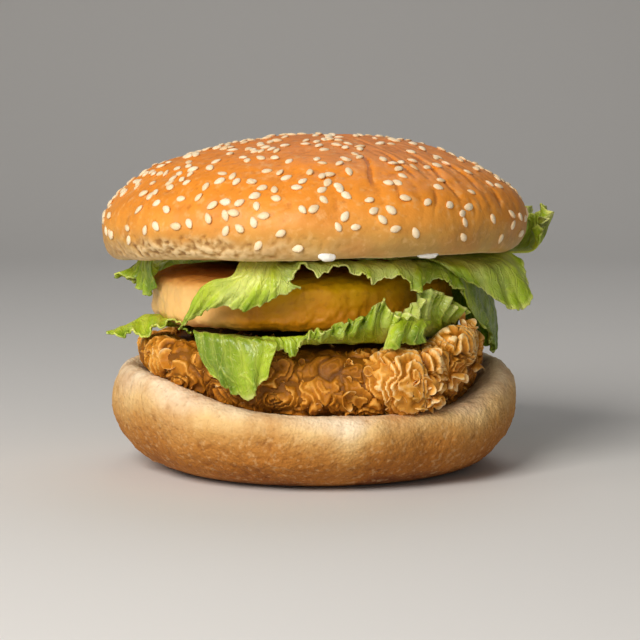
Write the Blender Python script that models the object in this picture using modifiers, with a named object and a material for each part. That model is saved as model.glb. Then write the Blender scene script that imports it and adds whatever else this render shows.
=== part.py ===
"""Chicken burger: a sesame bun round a crispy fillet, a golden fritter and two layers of lettuce.

The burger is stacked from the table up, with its front towards -Y. Its sizes are in
millimetres, and MM turns them into Blender's metres where a mesh is made. An azimuth is in
degrees round the stack from +X towards +Y, so the front is at -90.
"""

import math

import bpy
from mathutils import Vector, noise

MM = 0.001

# Crown, the seeded upper half of the bun, which leans back and a little to the left
CROWN_RADIUS = 56.8
CROWN_RISE = 31.5
CROWN_WIDEST = 8.5
CROWN_TUCK = 4.5
CROWN_BASE = 56.8
CROWN_OFFSET = -0.2
LEAN_BACK = 0.04
LEAN_SIDE = 0.02

# Heel, the lower half, pressed down along its front by the fillet that lies in it
HEEL_RADIUS = 54.2
HEEL_FLAT = 33.0
HEEL_WIDEST = 19.5
HEEL_CREST_RADIUS = 49.5
HEEL_RIM = 28.0
HEEL_DIP = 8.4
HEEL_DIP_AZIMUTH = -73.0
HEEL_DIP_WIDTH = 58.0
DISH_FLOOR = 17.5
DISH_RADIUS = 34.0

# Crispy chicken fillet, with an end that is folded up at the right of the front
FILLET_RADIUS = 44.5
FILLET_TOP = 35.9
FILLET_LUMP = 2.2
FILLET_END_RISE = 8.5
FILLET_END_AZIMUTH = -30.0
FILLET_END_WIDTH = 20.0

# Golden fritter, a battered round that sits left of the middle
FRITTER_RADIUS = 41.0
FRITTER_BASE = 38.7
FRITTER_TOP = 53.4
FRITTER_OFFSET = -3.5

# Lettuce
LEAF_THICKNESS = 0.55
LEAF_ROOT = 10.0
LEAF_SEAT = 0.9
STACK_SHARE = 0.3
CLEARANCE = 1.1

MATERIALS = {
    "crust": ((0.80, 0.38, 0.12), 0.38),
    "heel_crust": ((0.72, 0.45, 0.22), 0.80),
    "fillet_crust": ((0.62, 0.31, 0.10), 0.60),
    "fritter_batter": ((0.70, 0.36, 0.08), 0.50),
    "lettuce": ((0.36, 0.55, 0.09), 0.45),
}


def smooth_step(low, high, value):
    """0 below low, 1 above high, and a smooth rise between."""
    share = min(1.0, max(0.0, (value - low) / (high - low)))
    return share * share * (3.0 - 2.0 * share)


def polar(x, y):
    return math.hypot(x, y), math.atan2(y, x)


def unevenness(place, size, seed):
    """Smooth noise from -1 to 1 whose lumps are about size millimetres across."""
    return noise.noise(Vector(place) / size + Vector((seed, 0.37 * seed, -seed)))


def around(azimuth, centre, width, sharpness=2):
    """1 at an azimuth of centre degrees, falling to 0 past width degrees either side of it."""
    turn = (math.degrees(azimuth) - centre + 180.0) % 360.0 - 180.0
    return math.exp(-((abs(turn) / width) ** sharpness))


def heel_rim(azimuth):
    """The heel's crest: high at the back and sides, low along the front."""
    return HEEL_RIM - HEEL_DIP * around(azimuth, HEEL_DIP_AZIMUTH, HEEL_DIP_WIDTH, 4)


def heel_top(x, y):
    """The heel's upper face, a shallow dish that rises to the crest."""
    radius, azimuth = polar(x, y)
    rise = heel_rim(azimuth) - DISH_FLOOR
    return DISH_FLOOR + rise * smooth_step(DISH_RADIUS, HEEL_CREST_RADIUS, radius)


def crown_underside(x, y):
    return CROWN_BASE + LEAN_SIDE * x - LEAN_BACK * y


def fritter_edge(azimuth):
    """The distance from the stack's middle to the fritter's wall, which is off centre."""
    across = FRITTER_OFFSET * math.sin(azimuth)
    return FRITTER_OFFSET * math.cos(azimuth) + math.sqrt(FRITTER_RADIUS**2 - across**2)


def fillet_edge(azimuth):
    """The fillet's outline, which comes furthest out at the front."""
    front = 3.0 * max(0.0, -math.sin(azimuth)) + 1.8 * around(azimuth, -38.0, 22.0)
    return FILLET_RADIUS + front - math.cos(azimuth) + 0.8 * math.sin(5.0 * azimuth)


def fillet_top(x, y):
    """The fillet's upper face: flat under the fritter, and folded up past it at one end."""
    radius, azimuth = polar(x, y)
    past = smooth_step(1.5, 6.0, radius - fritter_edge(azimuth))
    fold = around(azimuth, FILLET_END_AZIMUTH, FILLET_END_WIDTH)
    return FILLET_TOP + FILLET_END_RISE * past * fold


def past_fritter(azimuth):
    return fritter_edge(azimuth) + CLEARANCE


def past_fillet(azimuth):
    return fillet_edge(azimuth) + FILLET_LUMP + 0.5


def past_crown(azimuth):
    return CROWN_RADIUS + CLEARANCE


def upper_layer(x, y):
    return (FRITTER_TOP + crown_underside(x, y)) / 2.0


def against_crown(x, y):
    """Just under the crown, over another leaf."""
    return crown_underside(x, y) - LEAF_SEAT


def upon_fritter(x, y):
    """Just over the fritter, under another leaf."""
    return FRITTER_TOP + LEAF_SEAT


def lower_layer(x, y):
    return (FILLET_TOP + FRITTER_BASE) / 2.0


def material(name):
    """The named finish, made once."""
    found = bpy.data.materials.get(name)
    if found:
        return found
    colour, roughness = MATERIALS[name]
    made = bpy.data.materials.new(name)
    made.use_nodes = True
    shader = made.node_tree.nodes["Principled BSDF"]
    shader.inputs["Base Color"].default_value = (*colour, 1.0)
    shader.inputs["Roughness"].default_value = roughness
    shader.inputs["Metallic"].default_value = 0.0
    return made


def add_part(name, mesh, finish):
    part = bpy.data.objects.new(name, mesh)
    mesh.materials.append(material(finish))
    mesh.shade_smooth()
    bpy.data.collections["chicken_burger"].objects.link(part)
    return part


def turned(name, profile, steps, finish):
    """A part turned from (radius, height) points that run down its outer side."""
    line = bpy.data.meshes.new(name + "_profile")
    points = [(radius * MM, 0.0, height * MM) for radius, height in profile]
    line.from_pydata(points, [(i, i + 1) for i in range(len(points) - 1)], [])
    guide = bpy.data.objects.new(name + "_profile", line)
    bpy.context.scene.collection.objects.link(guide)
    screw = guide.modifiers.new("Turn", "SCREW")
    screw.steps = steps
    screw.render_steps = steps
    screw.use_merge_vertices = True
    screw.merge_threshold = 0.00001
    graph = bpy.context.evaluated_depsgraph_get()
    mesh = bpy.data.meshes.new_from_object(guide.evaluated_get(graph))
    mesh.name = name
    bpy.data.objects.remove(guide)
    return add_part(name, mesh, finish)


def shaped(part, place):
    """Moves each vertex to where place puts it, in millimetres."""
    for vertex in part.data.vertices:
        vertex.co = Vector(place(*(vertex.co / MM))) * MM
    part.data.update()


def quarter_turn(steps):
    """Angles from 0 to a right angle."""
    return [0.5 * math.pi * i / steps for i in range(steps + 1)]


def slab_profile(radius, roundness, steps):
    """The outer half of a slab from +1 down to -1, squarer at its edge the lower roundness is."""
    points = []
    for i in range(steps + 1):
        angle = math.pi * (0.5 - i / steps)
        across = max(0.0, math.cos(angle)) ** roundness
        up = math.copysign(abs(math.sin(angle)) ** roundness, math.sin(angle))
        points.append((radius * across, up))
    return points


def build_heel():
    """The lower bun: a flat base, full sides that roll over at the crest, and the dish inside."""
    roll = HEEL_RADIUS - HEEL_CREST_RADIUS
    rise = HEEL_RIM - HEEL_WIDEST
    tuck = HEEL_RADIUS - HEEL_FLAT
    side = [(radius, HEEL_RIM) for radius in (0.0, 18.0, DISH_RADIUS, 38.0, 42.0, 45.0, 47.5)]
    for angle in quarter_turn(5):
        across, up = roll * math.sin(angle), rise * math.cos(angle)
        side.append((HEEL_CREST_RADIUS + across, HEEL_WIDEST + up))
    for angle in quarter_turn(6)[1:]:
        across, down = tuck * math.cos(angle) ** 0.85, math.sin(angle) ** 1.1
        side.append((HEEL_FLAT + across, HEEL_WIDEST * (1.0 - down)))
    heel = turned("bun_heel", side + [(0.0, 0.0)], 40, "heel_crust")

    def place(x, y, z):
        radius, azimuth = polar(x, y)
        if radius <= HEEL_CREST_RADIUS - 1.0 and z > HEEL_WIDEST:
            return x, y, heel_top(x, y)
        swell = 1.0 + 0.016 * unevenness((x, y, z), 22.0, 3.1) * smooth_step(0.0, 6.0, z)
        return x * swell, y * swell, z * heel_rim(azimuth) / HEEL_RIM

    shaped(heel, place)


def build_fillet():
    """The crispy fillet: a lumpy slab bedded in the heel, under the fritter."""
    fillet = turned("chicken_fillet", slab_profile(FILLET_RADIUS, 0.55, 11), 40, "fillet_crust")

    def place(x, y, up):
        radius, azimuth = polar(x, y)
        rim = smooth_step(0.75, 1.0, radius / FILLET_RADIUS)
        lump = FILLET_LUMP * rim * unevenness((x, y, 12.0 * up), 9.0, 7.7)
        reach = (fillet_edge(azimuth) * radius / FILLET_RADIUS + lump) if radius else 0.0
        x, y = reach * math.cos(azimuth), reach * math.sin(azimuth)
        base = heel_top(x, y) + CLEARANCE
        return x, y, base + (fillet_top(x, y) - base) * (1.0 + up) / 2.0

    shaped(fillet, place)


def build_fritter():
    """The battered round: an even slab with a full, upright wall."""
    fritter = turned("fritter", slab_profile(FRITTER_RADIUS, 0.33, 9), 36, "fritter_batter")

    def place(x, y, up):
        radius = math.hypot(x, y)
        wall = smooth_step(0.8, 1.0, radius / FRITTER_RADIUS)
        swell = 1.0 + 0.02 * wall * (unevenness((x, y, 6.0 * up), 12.0, 5.3) - 0.5)
        height = FRITTER_BASE + (FRITTER_TOP - FRITTER_BASE) * (1.0 + up) / 2.0
        return x * swell + FRITTER_OFFSET, y * swell, height

    shaped(fritter, place)


def build_crown():
    """The upper bun: a full dome over a tucked-in skirt, cut flat underneath."""
    profile = [(0.0, CROWN_RISE)]
    for angle in quarter_turn(9)[1:]:
        across, up = math.sin(angle), math.cos(angle) ** 1.05
        profile.append((CROWN_RADIUS * across, CROWN_WIDEST + (CROWN_RISE - CROWN_WIDEST) * up))
    for angle in quarter_turn(4)[1:]:
        across, down = CROWN_TUCK * (1.0 - math.cos(angle)), math.sin(angle)
        profile.append((CROWN_RADIUS - across, CROWN_WIDEST * (1.0 - down)))
    profile += [(CROWN_RADIUS - CROWN_TUCK - 2.0, 0.0), (28.0, 0.0), (0.0, 0.0)]
    crown = turned("bun_crown", profile, 42, "crust")

    def place(x, y, z):
        over_cut = smooth_step(0.0, 12.0, z)
        swell = 1.0 + 0.02 * over_cut * unevenness((x, y, z), 30.0, 1.9)
        return x * swell, y * swell, z * (1.0 + 0.02 * unevenness((x, y, 0.0), 26.0, 4.2))

    shaped(crown, place)
    crown.rotation_euler = (-math.atan(LEAN_BACK), -math.atan(LEAN_SIDE), 0.0)
    crown.location = (CROWN_OFFSET * MM, 0.0, CROWN_BASE * MM)


def between(stations, share):
    """Values at a share of a leaf's width, eased from one station to the next."""
    for (near, *low), (far, *high) in zip(stations, stations[1:]):
        if share <= far:
            ease = smooth_step(near, far, share)
            return [a + (b - a) * ease for a, b in zip(low, high)]
    return list(stations[-1][1:])


def build_leaf(name, span, layer, edge, stations, waves, ruffle, lean=0.0, bend=90.0, grid=(13, 6)):
    """One lettuce leaf, which runs out between two layers and hangs or stands up past their edge.

    span holds its first and last azimuth, layer its height in the stack and edge the radius at
    which it is free. Each station is (share of its width, reach past the edge, drop below the
    layer), and a negative drop stands up. waves and ruffle are the count and height of the frills
    along the free edge, lean turns the tip round the stack, and bend is the angle it curls to.
    """
    columns, rows = grid
    bpy.ops.mesh.primitive_grid_add(x_subdivisions=columns, y_subdivisions=rows, size=2.0)
    leaf = bpy.context.object
    mesh = leaf.data
    curl = math.radians(bend)
    for vertex in mesh.vertices:
        share = (vertex.co.x + 1.0) / 2.0
        out = (vertex.co.y + 1.0) / 2.0
        azimuth = math.radians(span[0] + (span[1] - span[0]) * share)
        free = max(0.0, (out - STACK_SHARE) / (1.0 - STACK_SHARE))
        reach, drop = between(stations, share)
        inside = min(1.0, out / STACK_SHARE)
        start = LEAF_ROOT + (edge(azimuth) - LEAF_ROOT) * inside
        radius = start + reach * math.sin(curl * free) / math.sin(curl)
        fall = drop * (1.0 - math.cos(curl * free)) / (1.0 - math.cos(curl))
        wave = math.sin(2.0 * math.pi * waves * share + span[0])
        wave += 0.6 * unevenness((30.0 * share * waves / 3.0, 8.0 * out, 0.0), 5.0, span[0])
        steepness = curl * free * (1.0 if drop > 0 else -1.0)
        height = ruffle * wave * free**1.2
        radius += height * math.sin(steepness)
        azimuth += math.radians(lean * free)
        azimuth += 0.5 * height / radius * math.cos(2.0 * math.pi * waves * share + span[0])
        x, y = radius * math.cos(azimuth), radius * math.sin(azimuth)
        level = layer(x, y) if free == 0 else layer(
            start * math.cos(azimuth), start * math.sin(azimuth)
        )
        z = level - fall + height * math.cos(steepness)
        vertex.co = Vector((x, y, z)) * MM
    leaf.name = name
    mesh.name = name
    mesh.materials.append(material("lettuce"))
    mesh.shade_smooth()
    for collection in leaf.users_collection:
        collection.objects.unlink(leaf)
    bpy.data.collections["chicken_burger"].objects.link(leaf)
    wall = leaf.modifiers.new("Thickness", "SOLIDIFY")
    wall.thickness = LEAF_THICKNESS * MM
    wall.offset = 0.0
    return leaf


def build_upper_lettuce():
    """The leaves between the fritter and the crown, round the burger from the front left."""
    build_leaf(
        "lettuce_front_fold", (-119.0, -95.5), upper_layer, past_fritter,
        [(0.0, 5.0, 14.5), (0.35, 6.0, 12.5), (0.7, 7.0, 9.5), (1.0, 6.0, 5.0)], 1.6, 0.9,
        lean=-9.0,
    )
    build_leaf(
        "lettuce_front", (-94.0, -56.0), upper_layer, past_fritter,
        [(0.0, 6.0, 1.0), (0.1, 7.0, 2.5), (0.22, 8.0, 1.5), (0.36, 9.0, 6.0), (0.5, 9.0, 3.5),
         (0.66, 10.0, 8.5), (0.8, 10.0, 6.0), (1.0, 11.0, 10.5)], 3.4, 1.1, lean=7.0, grid=(20, 6),
    )
    build_leaf(
        "lettuce_right_blade", (-46.0, -13.0), upper_layer, past_fritter,
        [(0.0, 12.0, 6.5), (0.4, 15.0, 8.0), (0.72, 18.0, 11.0), (0.88, 16.0, 6.0),
         (1.0, 13.0, 0.5)], 1.2, 0.8, bend=65.0,
    )
    build_leaf(
        "lettuce_right_hanging", (-21.0, 28.0), upon_fritter, past_fritter,
        [(0.0, 3.0, 8.0), (0.3, 8.0, 15.5), (0.6, 10.5, 24.0), (1.0, 10.5, 20.0)], 1.3, 0.5,
        grid=(16, 6),
    )
    build_leaf(
        "lettuce_right_sprig", (6.0, 26.0), against_crown, past_crown,
        [(0.0, 3.5, -5.0), (0.3, 6.0, -12.0), (0.55, 5.0, -9.0), (0.8, 5.0, -12.0),
         (1.0, 2.5, -5.0)], 2.6, 1.0,
    )
    build_leaf(
        "lettuce_back_right", (32.0, 90.0), upper_layer, past_fritter,
        [(0.0, 12.0, 5.0), (0.3, 15.0, 11.0), (0.6, 13.0, 7.0), (1.0, 14.0, 9.0)], 3.3, 1.3,
        bend=70.0,
    )
    build_leaf(
        "lettuce_back_left", (93.0, 154.0), upper_layer, past_fritter,
        [(0.0, 12.0, 8.0), (0.4, 14.0, 12.0), (0.7, 11.0, 6.0), (1.0, 11.0, 8.0)], 3.6, 1.3,
        bend=75.0,
    )
    build_leaf(
        "lettuce_left", (157.0, 203.0), upper_layer, past_fritter,
        [(0.0, 9.0, 9.0), (0.3, 9.0, 7.0), (0.55, 7.0, 8.0), (1.0, 3.0, 2.0)], 2.6, 0.9,
        bend=70.0,
    )


def build_lower_lettuce():
    """The leaves between the fillet and the fritter, round the burger from the left."""
    build_leaf(
        "lettuce_left_strip", (184.0, 226.0), lower_layer, past_fillet,
        [(0.0, 3.0, 0.5), (0.25, 7.0, 2.0), (0.5, 4.0, 2.5), (1.0, 1.5, 1.5)], 2.2, 0.9,
        bend=55.0,
    )
    build_leaf(
        "lettuce_hanging", (-130.0, -102.0), lower_layer, past_fillet,
        [(0.0, 2.0, 3.0), (0.3, 3.0, 8.5), (0.62, 3.5, 13.0), (0.85, 3.0, 9.5), (1.0, 2.5, 4.0)],
        1.5, 0.6,
    )
    build_leaf(
        "lettuce_middle", (-100.0, -74.0), lower_layer, past_fillet,
        [(0.0, 2.5, 4.0), (0.25, 3.0, 3.0), (0.45, 3.0, 1.0), (0.7, 3.5, -4.0), (1.0, 3.5, -9.0)],
        2.3, 1.0,
    )
    build_leaf(
        "lettuce_right_ruffle", (-71.0, -40.0), lower_layer, past_fritter,
        [(0.0, 6.5, -9.0), (0.3, 9.0, -5.0), (0.5, 9.5, -3.5), (0.7, 8.5, -9.0),
         (1.0, 6.0, -12.5)], 2.2, 1.6, grid=(16, 7),
    )
    build_leaf(
        "lettuce_back_low_right", (36.0, 86.0), lower_layer, past_fillet,
        [(0.0, 3.0, 3.0), (0.3, 4.0, 6.0), (0.7, 5.0, 3.0), (1.0, 3.0, 5.0)], 3.6, 1.0,
    )
    build_leaf(
        "lettuce_back_low_left", (88.0, 150.0), lower_layer, past_fillet,
        [(0.0, 3.0, 4.0), (0.4, 5.0, 7.5), (0.7, 4.0, 4.0), (1.0, 4.0, 3.0)], 3.8, 1.0,
    )


def main():
    for thing in list(bpy.data.objects):
        bpy.data.objects.remove(thing)
    collection = bpy.data.collections.new("chicken_burger")
    bpy.context.scene.collection.children.link(collection)
    build_heel()
    build_fillet()
    build_lower_lettuce()
    build_fritter()
    build_upper_lettuce()
    build_crown()


main()
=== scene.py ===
"""Chicken burger: crusts, seeds, fried crumb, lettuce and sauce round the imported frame.

Lengths are in metres, and MM turns millimetres into them. An azimuth is in degrees round the
stack from +X towards +Y, so the front of the burger is at -90.
"""

import math
import random

import bpy
import numpy as np
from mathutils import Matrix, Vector
from mathutils.bvhtree import BVHTree


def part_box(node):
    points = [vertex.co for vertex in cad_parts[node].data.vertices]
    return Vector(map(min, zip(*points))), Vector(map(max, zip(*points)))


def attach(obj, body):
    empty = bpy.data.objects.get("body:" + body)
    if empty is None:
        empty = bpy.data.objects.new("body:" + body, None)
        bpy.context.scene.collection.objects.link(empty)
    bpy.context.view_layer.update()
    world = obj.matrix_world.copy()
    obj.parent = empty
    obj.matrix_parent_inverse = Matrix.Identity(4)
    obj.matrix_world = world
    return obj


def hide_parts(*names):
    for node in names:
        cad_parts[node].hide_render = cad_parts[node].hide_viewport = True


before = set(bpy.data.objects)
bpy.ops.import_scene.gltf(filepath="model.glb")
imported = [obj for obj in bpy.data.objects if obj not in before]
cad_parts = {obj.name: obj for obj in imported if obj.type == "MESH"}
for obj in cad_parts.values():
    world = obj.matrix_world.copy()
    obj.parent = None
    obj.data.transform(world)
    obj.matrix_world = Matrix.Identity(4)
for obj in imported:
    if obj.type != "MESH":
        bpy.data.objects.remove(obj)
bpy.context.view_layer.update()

MM = 0.001
BODY = "root"

# Leaves, in millimetres: how they run out of the stack, as in the frame
LEAF_ROOT = 10.0
STACK_SHARE = 0.3
LEAF_THICKNESS = 0.45
CLEARANCE = 1.1
PAST_FILLET = 1.35
UNDER_CROWN = 0.9

# Where things are round the burger, as azimuths
TORN_EDGE = -128.0
CREASES = -47.0
RAISED_END = -62.0


# ---------------------------------------------------------------- tools for meshes

def only(piece):
    """Selects one piece and nothing else."""
    bpy.ops.object.select_all(action="DESELECT")
    piece.select_set(True)
    bpy.context.view_layer.objects.active = piece


def apply(piece, kind, **settings):
    """Adds a modifier with these settings and applies it."""
    only(piece)
    modifier = piece.modifiers.new(kind.title(), kind)
    for name, value in settings.items():
        setattr(modifier, name, value)
    bpy.ops.object.modifier_apply(modifier=modifier.name)


def named(name):
    """The object that an operator has just added, named, with its place in its mesh."""
    piece = bpy.context.object
    piece.name = name
    piece.data.name = name
    bpy.ops.object.transform_apply(location=True, rotation=True, scale=True)
    return piece


def even_copy(node, name, voxel, smoothing):
    """A CAD node's shape as a new, evenly divided and smooth mesh."""
    piece = bpy.data.objects.new(name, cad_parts[node].data.copy())
    piece.data.name = name
    piece.data.materials.clear()
    bpy.context.scene.collection.objects.link(piece)
    only(piece)
    bpy.ops.object.mode_set(mode="EDIT")
    bpy.ops.mesh.select_all(action="SELECT")
    bpy.ops.mesh.remove_doubles(threshold=0.001 * MM)
    bpy.ops.object.mode_set(mode="OBJECT")
    apply(piece, "REMESH", mode="VOXEL", voxel_size=voxel * MM)
    apply(piece, "SMOOTH", factor=0.5, iterations=smoothing)
    return piece


def points(piece):
    """A piece's points in millimetres, one row each."""
    flat = np.empty(len(piece.data.vertices) * 3, np.float32)
    piece.data.vertices.foreach_get("co", flat)
    return flat.reshape(-1, 3).astype(float) / MM


def normals(piece):
    """A piece's point normals, one row each."""
    flat = np.empty(len(piece.data.vertices) * 3, np.float32)
    piece.data.vertex_normals.foreach_get("vector", flat)
    return flat.reshape(-1, 3).astype(float)


def set_points(piece, places):
    """Moves a piece's points to places in millimetres."""
    piece.data.vertices.foreach_set("co", (places * MM).astype(np.float32).ravel())
    piece.data.update()


def paint(piece, name, values):
    """Stores a number for each point, for the piece's material to read."""
    layer = piece.data.attributes.get(name) or piece.data.attributes.new(name, "FLOAT", "POINT")
    layer.data.foreach_set("value", np.clip(values, 0.0, 1.0).astype(np.float32))


def mask(piece, name, weights, levels=24):
    """A vertex group with these weights, for a modifier to work through."""
    group = piece.vertex_groups.get(name) or piece.vertex_groups.new(name=name)
    steps = np.round(np.clip(weights, 0.0, 1.0) * levels).astype(int)
    for step in range(levels + 1):
        members = np.flatnonzero(steps == step).tolist()
        if members:
            group.add(members, step / levels, "REPLACE")
    return name


def smooth_step(low, high, value):
    """0 at low, 1 at high and eased in between."""
    share = np.clip((value - low) / (high - low), 0.0, 1.0)
    return share * share * (3.0 - 2.0 * share)


def polar(places):
    """Radius and azimuth in degrees of each point round the stack."""
    radius = np.hypot(places[:, 0], places[:, 1])
    return radius, np.degrees(np.arctan2(places[:, 1], places[:, 0]))


def around(azimuth, centre, width):
    """1 at an azimuth of centre degrees, falling to 0 past width degrees either side of it."""
    turn = (azimuth - centre + 180.0) % 360.0 - 180.0
    return np.exp(-((turn / width) ** 2))


def spot(azimuth, height, centre, width, middle, tall):
    """1 at one place on a side, at azimuth centre and height middle, and falling off round it."""
    return around(azimuth, centre, width) * np.exp(-(((height - middle) / tall) ** 2))


def uneven(places, size, seed, waves=12):
    """A smooth uneven value, mostly within -1 to 1, at places in millimetres."""
    chance = random.Random(seed)
    total = np.zeros(len(places))
    for _ in range(waves):
        way = np.array([chance.gauss(0.0, 1.0) for _ in range(3)])
        total += np.sin(places @ way * (1.8 / size) + chance.uniform(0.0, 6.3))
    return total * 0.6 / math.sqrt(waves / 2.0)


def relief(piece, kind, size, depth, through="", level=0.5, along="NORMAL", **settings):
    """Raises and sinks a piece's surface by a texture whose lumps are size millimetres across."""
    texture = bpy.data.textures.new(piece.name + "_" + kind.lower(), kind)
    texture.noise_scale = size * MM
    for name, value in settings.items():
        setattr(texture, name, value)
    apply(
        piece, "DISPLACE", texture=texture, texture_coords="LOCAL", direction=along,
        strength=depth * MM, mid_level=level, vertex_group=through,
    )


def surroundings(piece, rounds):
    """Each point's place after its mesh is averaged over this many rounds of neighbours."""
    ends = np.empty(len(piece.data.edges) * 2, np.int32)
    piece.data.edges.foreach_get("vertices", ends)
    first, second = ends.reshape(-1, 2).T
    places = points(piece)
    count = np.bincount(first, minlength=len(places)) + np.bincount(second, minlength=len(places))
    count = np.maximum(count, 1)
    for _ in range(rounds):
        total = np.zeros_like(places)
        for axis in range(3):
            total[:, axis] += np.bincount(first, places[second, axis], len(places))
            total[:, axis] += np.bincount(second, places[first, axis], len(places))
        places = 0.5 * places + 0.5 * total / count[:, None]
    return places


def paint_ridges(piece, name, rounds, height):
    """Stores 0.5 where the surface is level, up to 1 on its ridges and down to 0 in its hollows."""
    above = ((points(piece) - surroundings(piece, rounds)) * normals(piece)).sum(axis=1)
    paint(piece, name, 0.5 + above / (2.0 * height))


def tree_of(piece):
    """A search tree of a piece's surface, in metres."""
    return BVHTree.FromObject(piece, bpy.context.evaluated_depsgraph_get())


def take(piece, finish, slot, *nodes):
    """Gives a piece its finish, lets it ride on the body and hides the CAD nodes it stands for."""
    piece.data.materials.clear()
    piece.data.materials.append(finish)
    piece.data.shade_smooth()
    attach(piece, BODY)
    if nodes:
        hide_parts(*nodes)
    return piece


# ---------------------------------------------------------------- tools for materials

def add_node(tree, kind, inputs=None, **settings):
    """Adds a node, sets its properties, and sets or links its inputs."""
    node = tree.nodes.new(kind)
    for name, value in settings.items():
        setattr(node, name, value)
    for name, value in (inputs or {}).items():
        if isinstance(value, bpy.types.NodeSocket):
            tree.links.new(value, node.inputs[name])
        else:
            node.inputs[name].default_value = value
    return node


def ramp(tree, factor, stops):
    """A colour ramp read at factor, with (place, colour) stops."""
    node = add_node(tree, "ShaderNodeValToRGB", {"Fac": factor})
    band = node.color_ramp
    while len(band.elements) < len(stops):
        band.elements.new(1.0)
    for element, (place, colour) in zip(band.elements, stops):
        element.position = place
        element.color = (*colour, 1.0)
    return node.outputs["Color"]


def blend(tree, factor, first, second, how="MIX"):
    """Two colours mixed by factor."""
    node = tree.nodes.new("ShaderNodeMix")
    node.data_type = "RGBA"
    node.blend_type = how
    for index, value in ((0, factor), (6, first), (7, second)):
        if isinstance(value, bpy.types.NodeSocket):
            tree.links.new(value, node.inputs[index])
        else:
            node.inputs[index].default_value = value
    return node.outputs[2]


def maths(tree, operation, first, second=0.0, clamp=False):
    return add_node(
        tree, "ShaderNodeMath", {0: first, 1: second}, operation=operation, use_clamp=clamp
    ).outputs[0]


def map_range(tree, value, low, high, to_low=0.0, to_high=1.0):
    """A value carried from one range to another, and kept inside it."""
    return add_node(
        tree, "ShaderNodeMapRange",
        {"Value": value, "From Min": low, "From Max": high, "To Min": to_low, "To Max": to_high},
    ).outputs["Result"]


def noise(tree, place, scale, detail, roughness=0.5, distortion=0.0):
    """The outputs of a noise texture."""
    return add_node(
        tree, "ShaderNodeTexNoise",
        {"Vector": place, "Scale": scale, "Detail": detail, "Roughness": roughness,
         "Distortion": distortion},
    ).outputs


def cell_lines(tree, place, stretch, width, strength):
    """Lines between flat cells: strength on each line, and nothing past width from it."""
    stretched = add_node(tree, "ShaderNodeMapping", {"Vector": place, "Scale": stretch})
    gap = add_node(
        tree, "ShaderNodeTexVoronoi", {"Vector": stretched.outputs["Vector"], "Scale": 1.0},
        feature="DISTANCE_TO_EDGE", voronoi_dimensions="2D",
    ).outputs["Distance"]
    return map_range(tree, gap, 0.0, width, strength, 0.0)


def new_group(name, inputs, outputs):
    """A shader node group with these sockets. Returns it with its input and output nodes."""
    group = bpy.data.node_groups.new(name, "ShaderNodeTree")
    for label, kind, value in inputs:
        socket = group.interface.new_socket(label, in_out="INPUT", socket_type=kind)
        socket.default_value = value
    for label, kind in outputs:
        group.interface.new_socket(label, in_out="OUTPUT", socket_type=kind)
    return group, group.nodes.new("NodeGroupInput"), group.nodes.new("NodeGroupOutput")


def make_mottle():
    """Patches of two colours, soft at a large size and speckled at a small one."""
    group, given, put = new_group(
        "Mottle",
        [("Colour", "NodeSocketColor", (0.8, 0.5, 0.2, 1.0)),
         ("Patch Colour", "NodeSocketColor", (0.5, 0.2, 0.1, 1.0)),
         ("Patch Scale", "NodeSocketFloat", 100.0),
         ("Patch Amount", "NodeSocketFloat", 0.5),
         ("Speck Colour", "NodeSocketColor", (0.3, 0.1, 0.05, 1.0)),
         ("Speck Scale", "NodeSocketFloat", 900.0),
         ("Speck Amount", "NodeSocketFloat", 0.2)],
        [("Colour", "NodeSocketColor")],
    )
    place = add_node(group, "ShaderNodeTexCoord").outputs["Object"]
    patches = noise(group, place, given.outputs["Patch Scale"], 4.0, 0.6)["Fac"]
    patches = map_range(group, patches, 0.42, 0.66)
    patches = maths(group, "MULTIPLY", patches, given.outputs["Patch Amount"])
    specks = noise(group, place, given.outputs["Speck Scale"], 3.0)["Fac"]
    specks = map_range(group, specks, 0.55, 0.7)
    specks = maths(group, "MULTIPLY", specks, given.outputs["Speck Amount"])
    colour = blend(group, patches, given.outputs["Colour"], given.outputs["Patch Colour"])
    colour = blend(group, specks, colour, given.outputs["Speck Colour"])
    group.links.new(colour, put.inputs["Colour"])
    return group


def make_grain():
    """Height of a fine baked or fried surface: pores and small wrinkles."""
    group, given, put = new_group(
        "Grain",
        [("Wrinkle Scale", "NodeSocketFloat", 600.0),
         ("Pore Scale", "NodeSocketFloat", 1800.0),
         ("Pore Share", "NodeSocketFloat", 0.5)],
        [("Height", "NodeSocketFloat")],
    )
    place = add_node(group, "ShaderNodeTexCoord").outputs["Object"]
    wrinkles = noise(group, place, given.outputs["Wrinkle Scale"], 5.0, 0.62, 0.6)["Fac"]
    pores = add_node(
        group, "ShaderNodeTexVoronoi",
        {"Vector": place, "Scale": given.outputs["Pore Scale"], "Randomness": 1.0},
    ).outputs["Distance"]
    height = add_node(
        group, "ShaderNodeMix",
        {0: given.outputs["Pore Share"], 2: wrinkles, 3: pores},
    ).outputs[0]
    group.links.new(height, put.inputs["Height"])
    return group


def rgba(red, green, blue):
    return (red, green, blue, 1.0)


MOTTLE = make_mottle()
GRAIN = make_grain()


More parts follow.
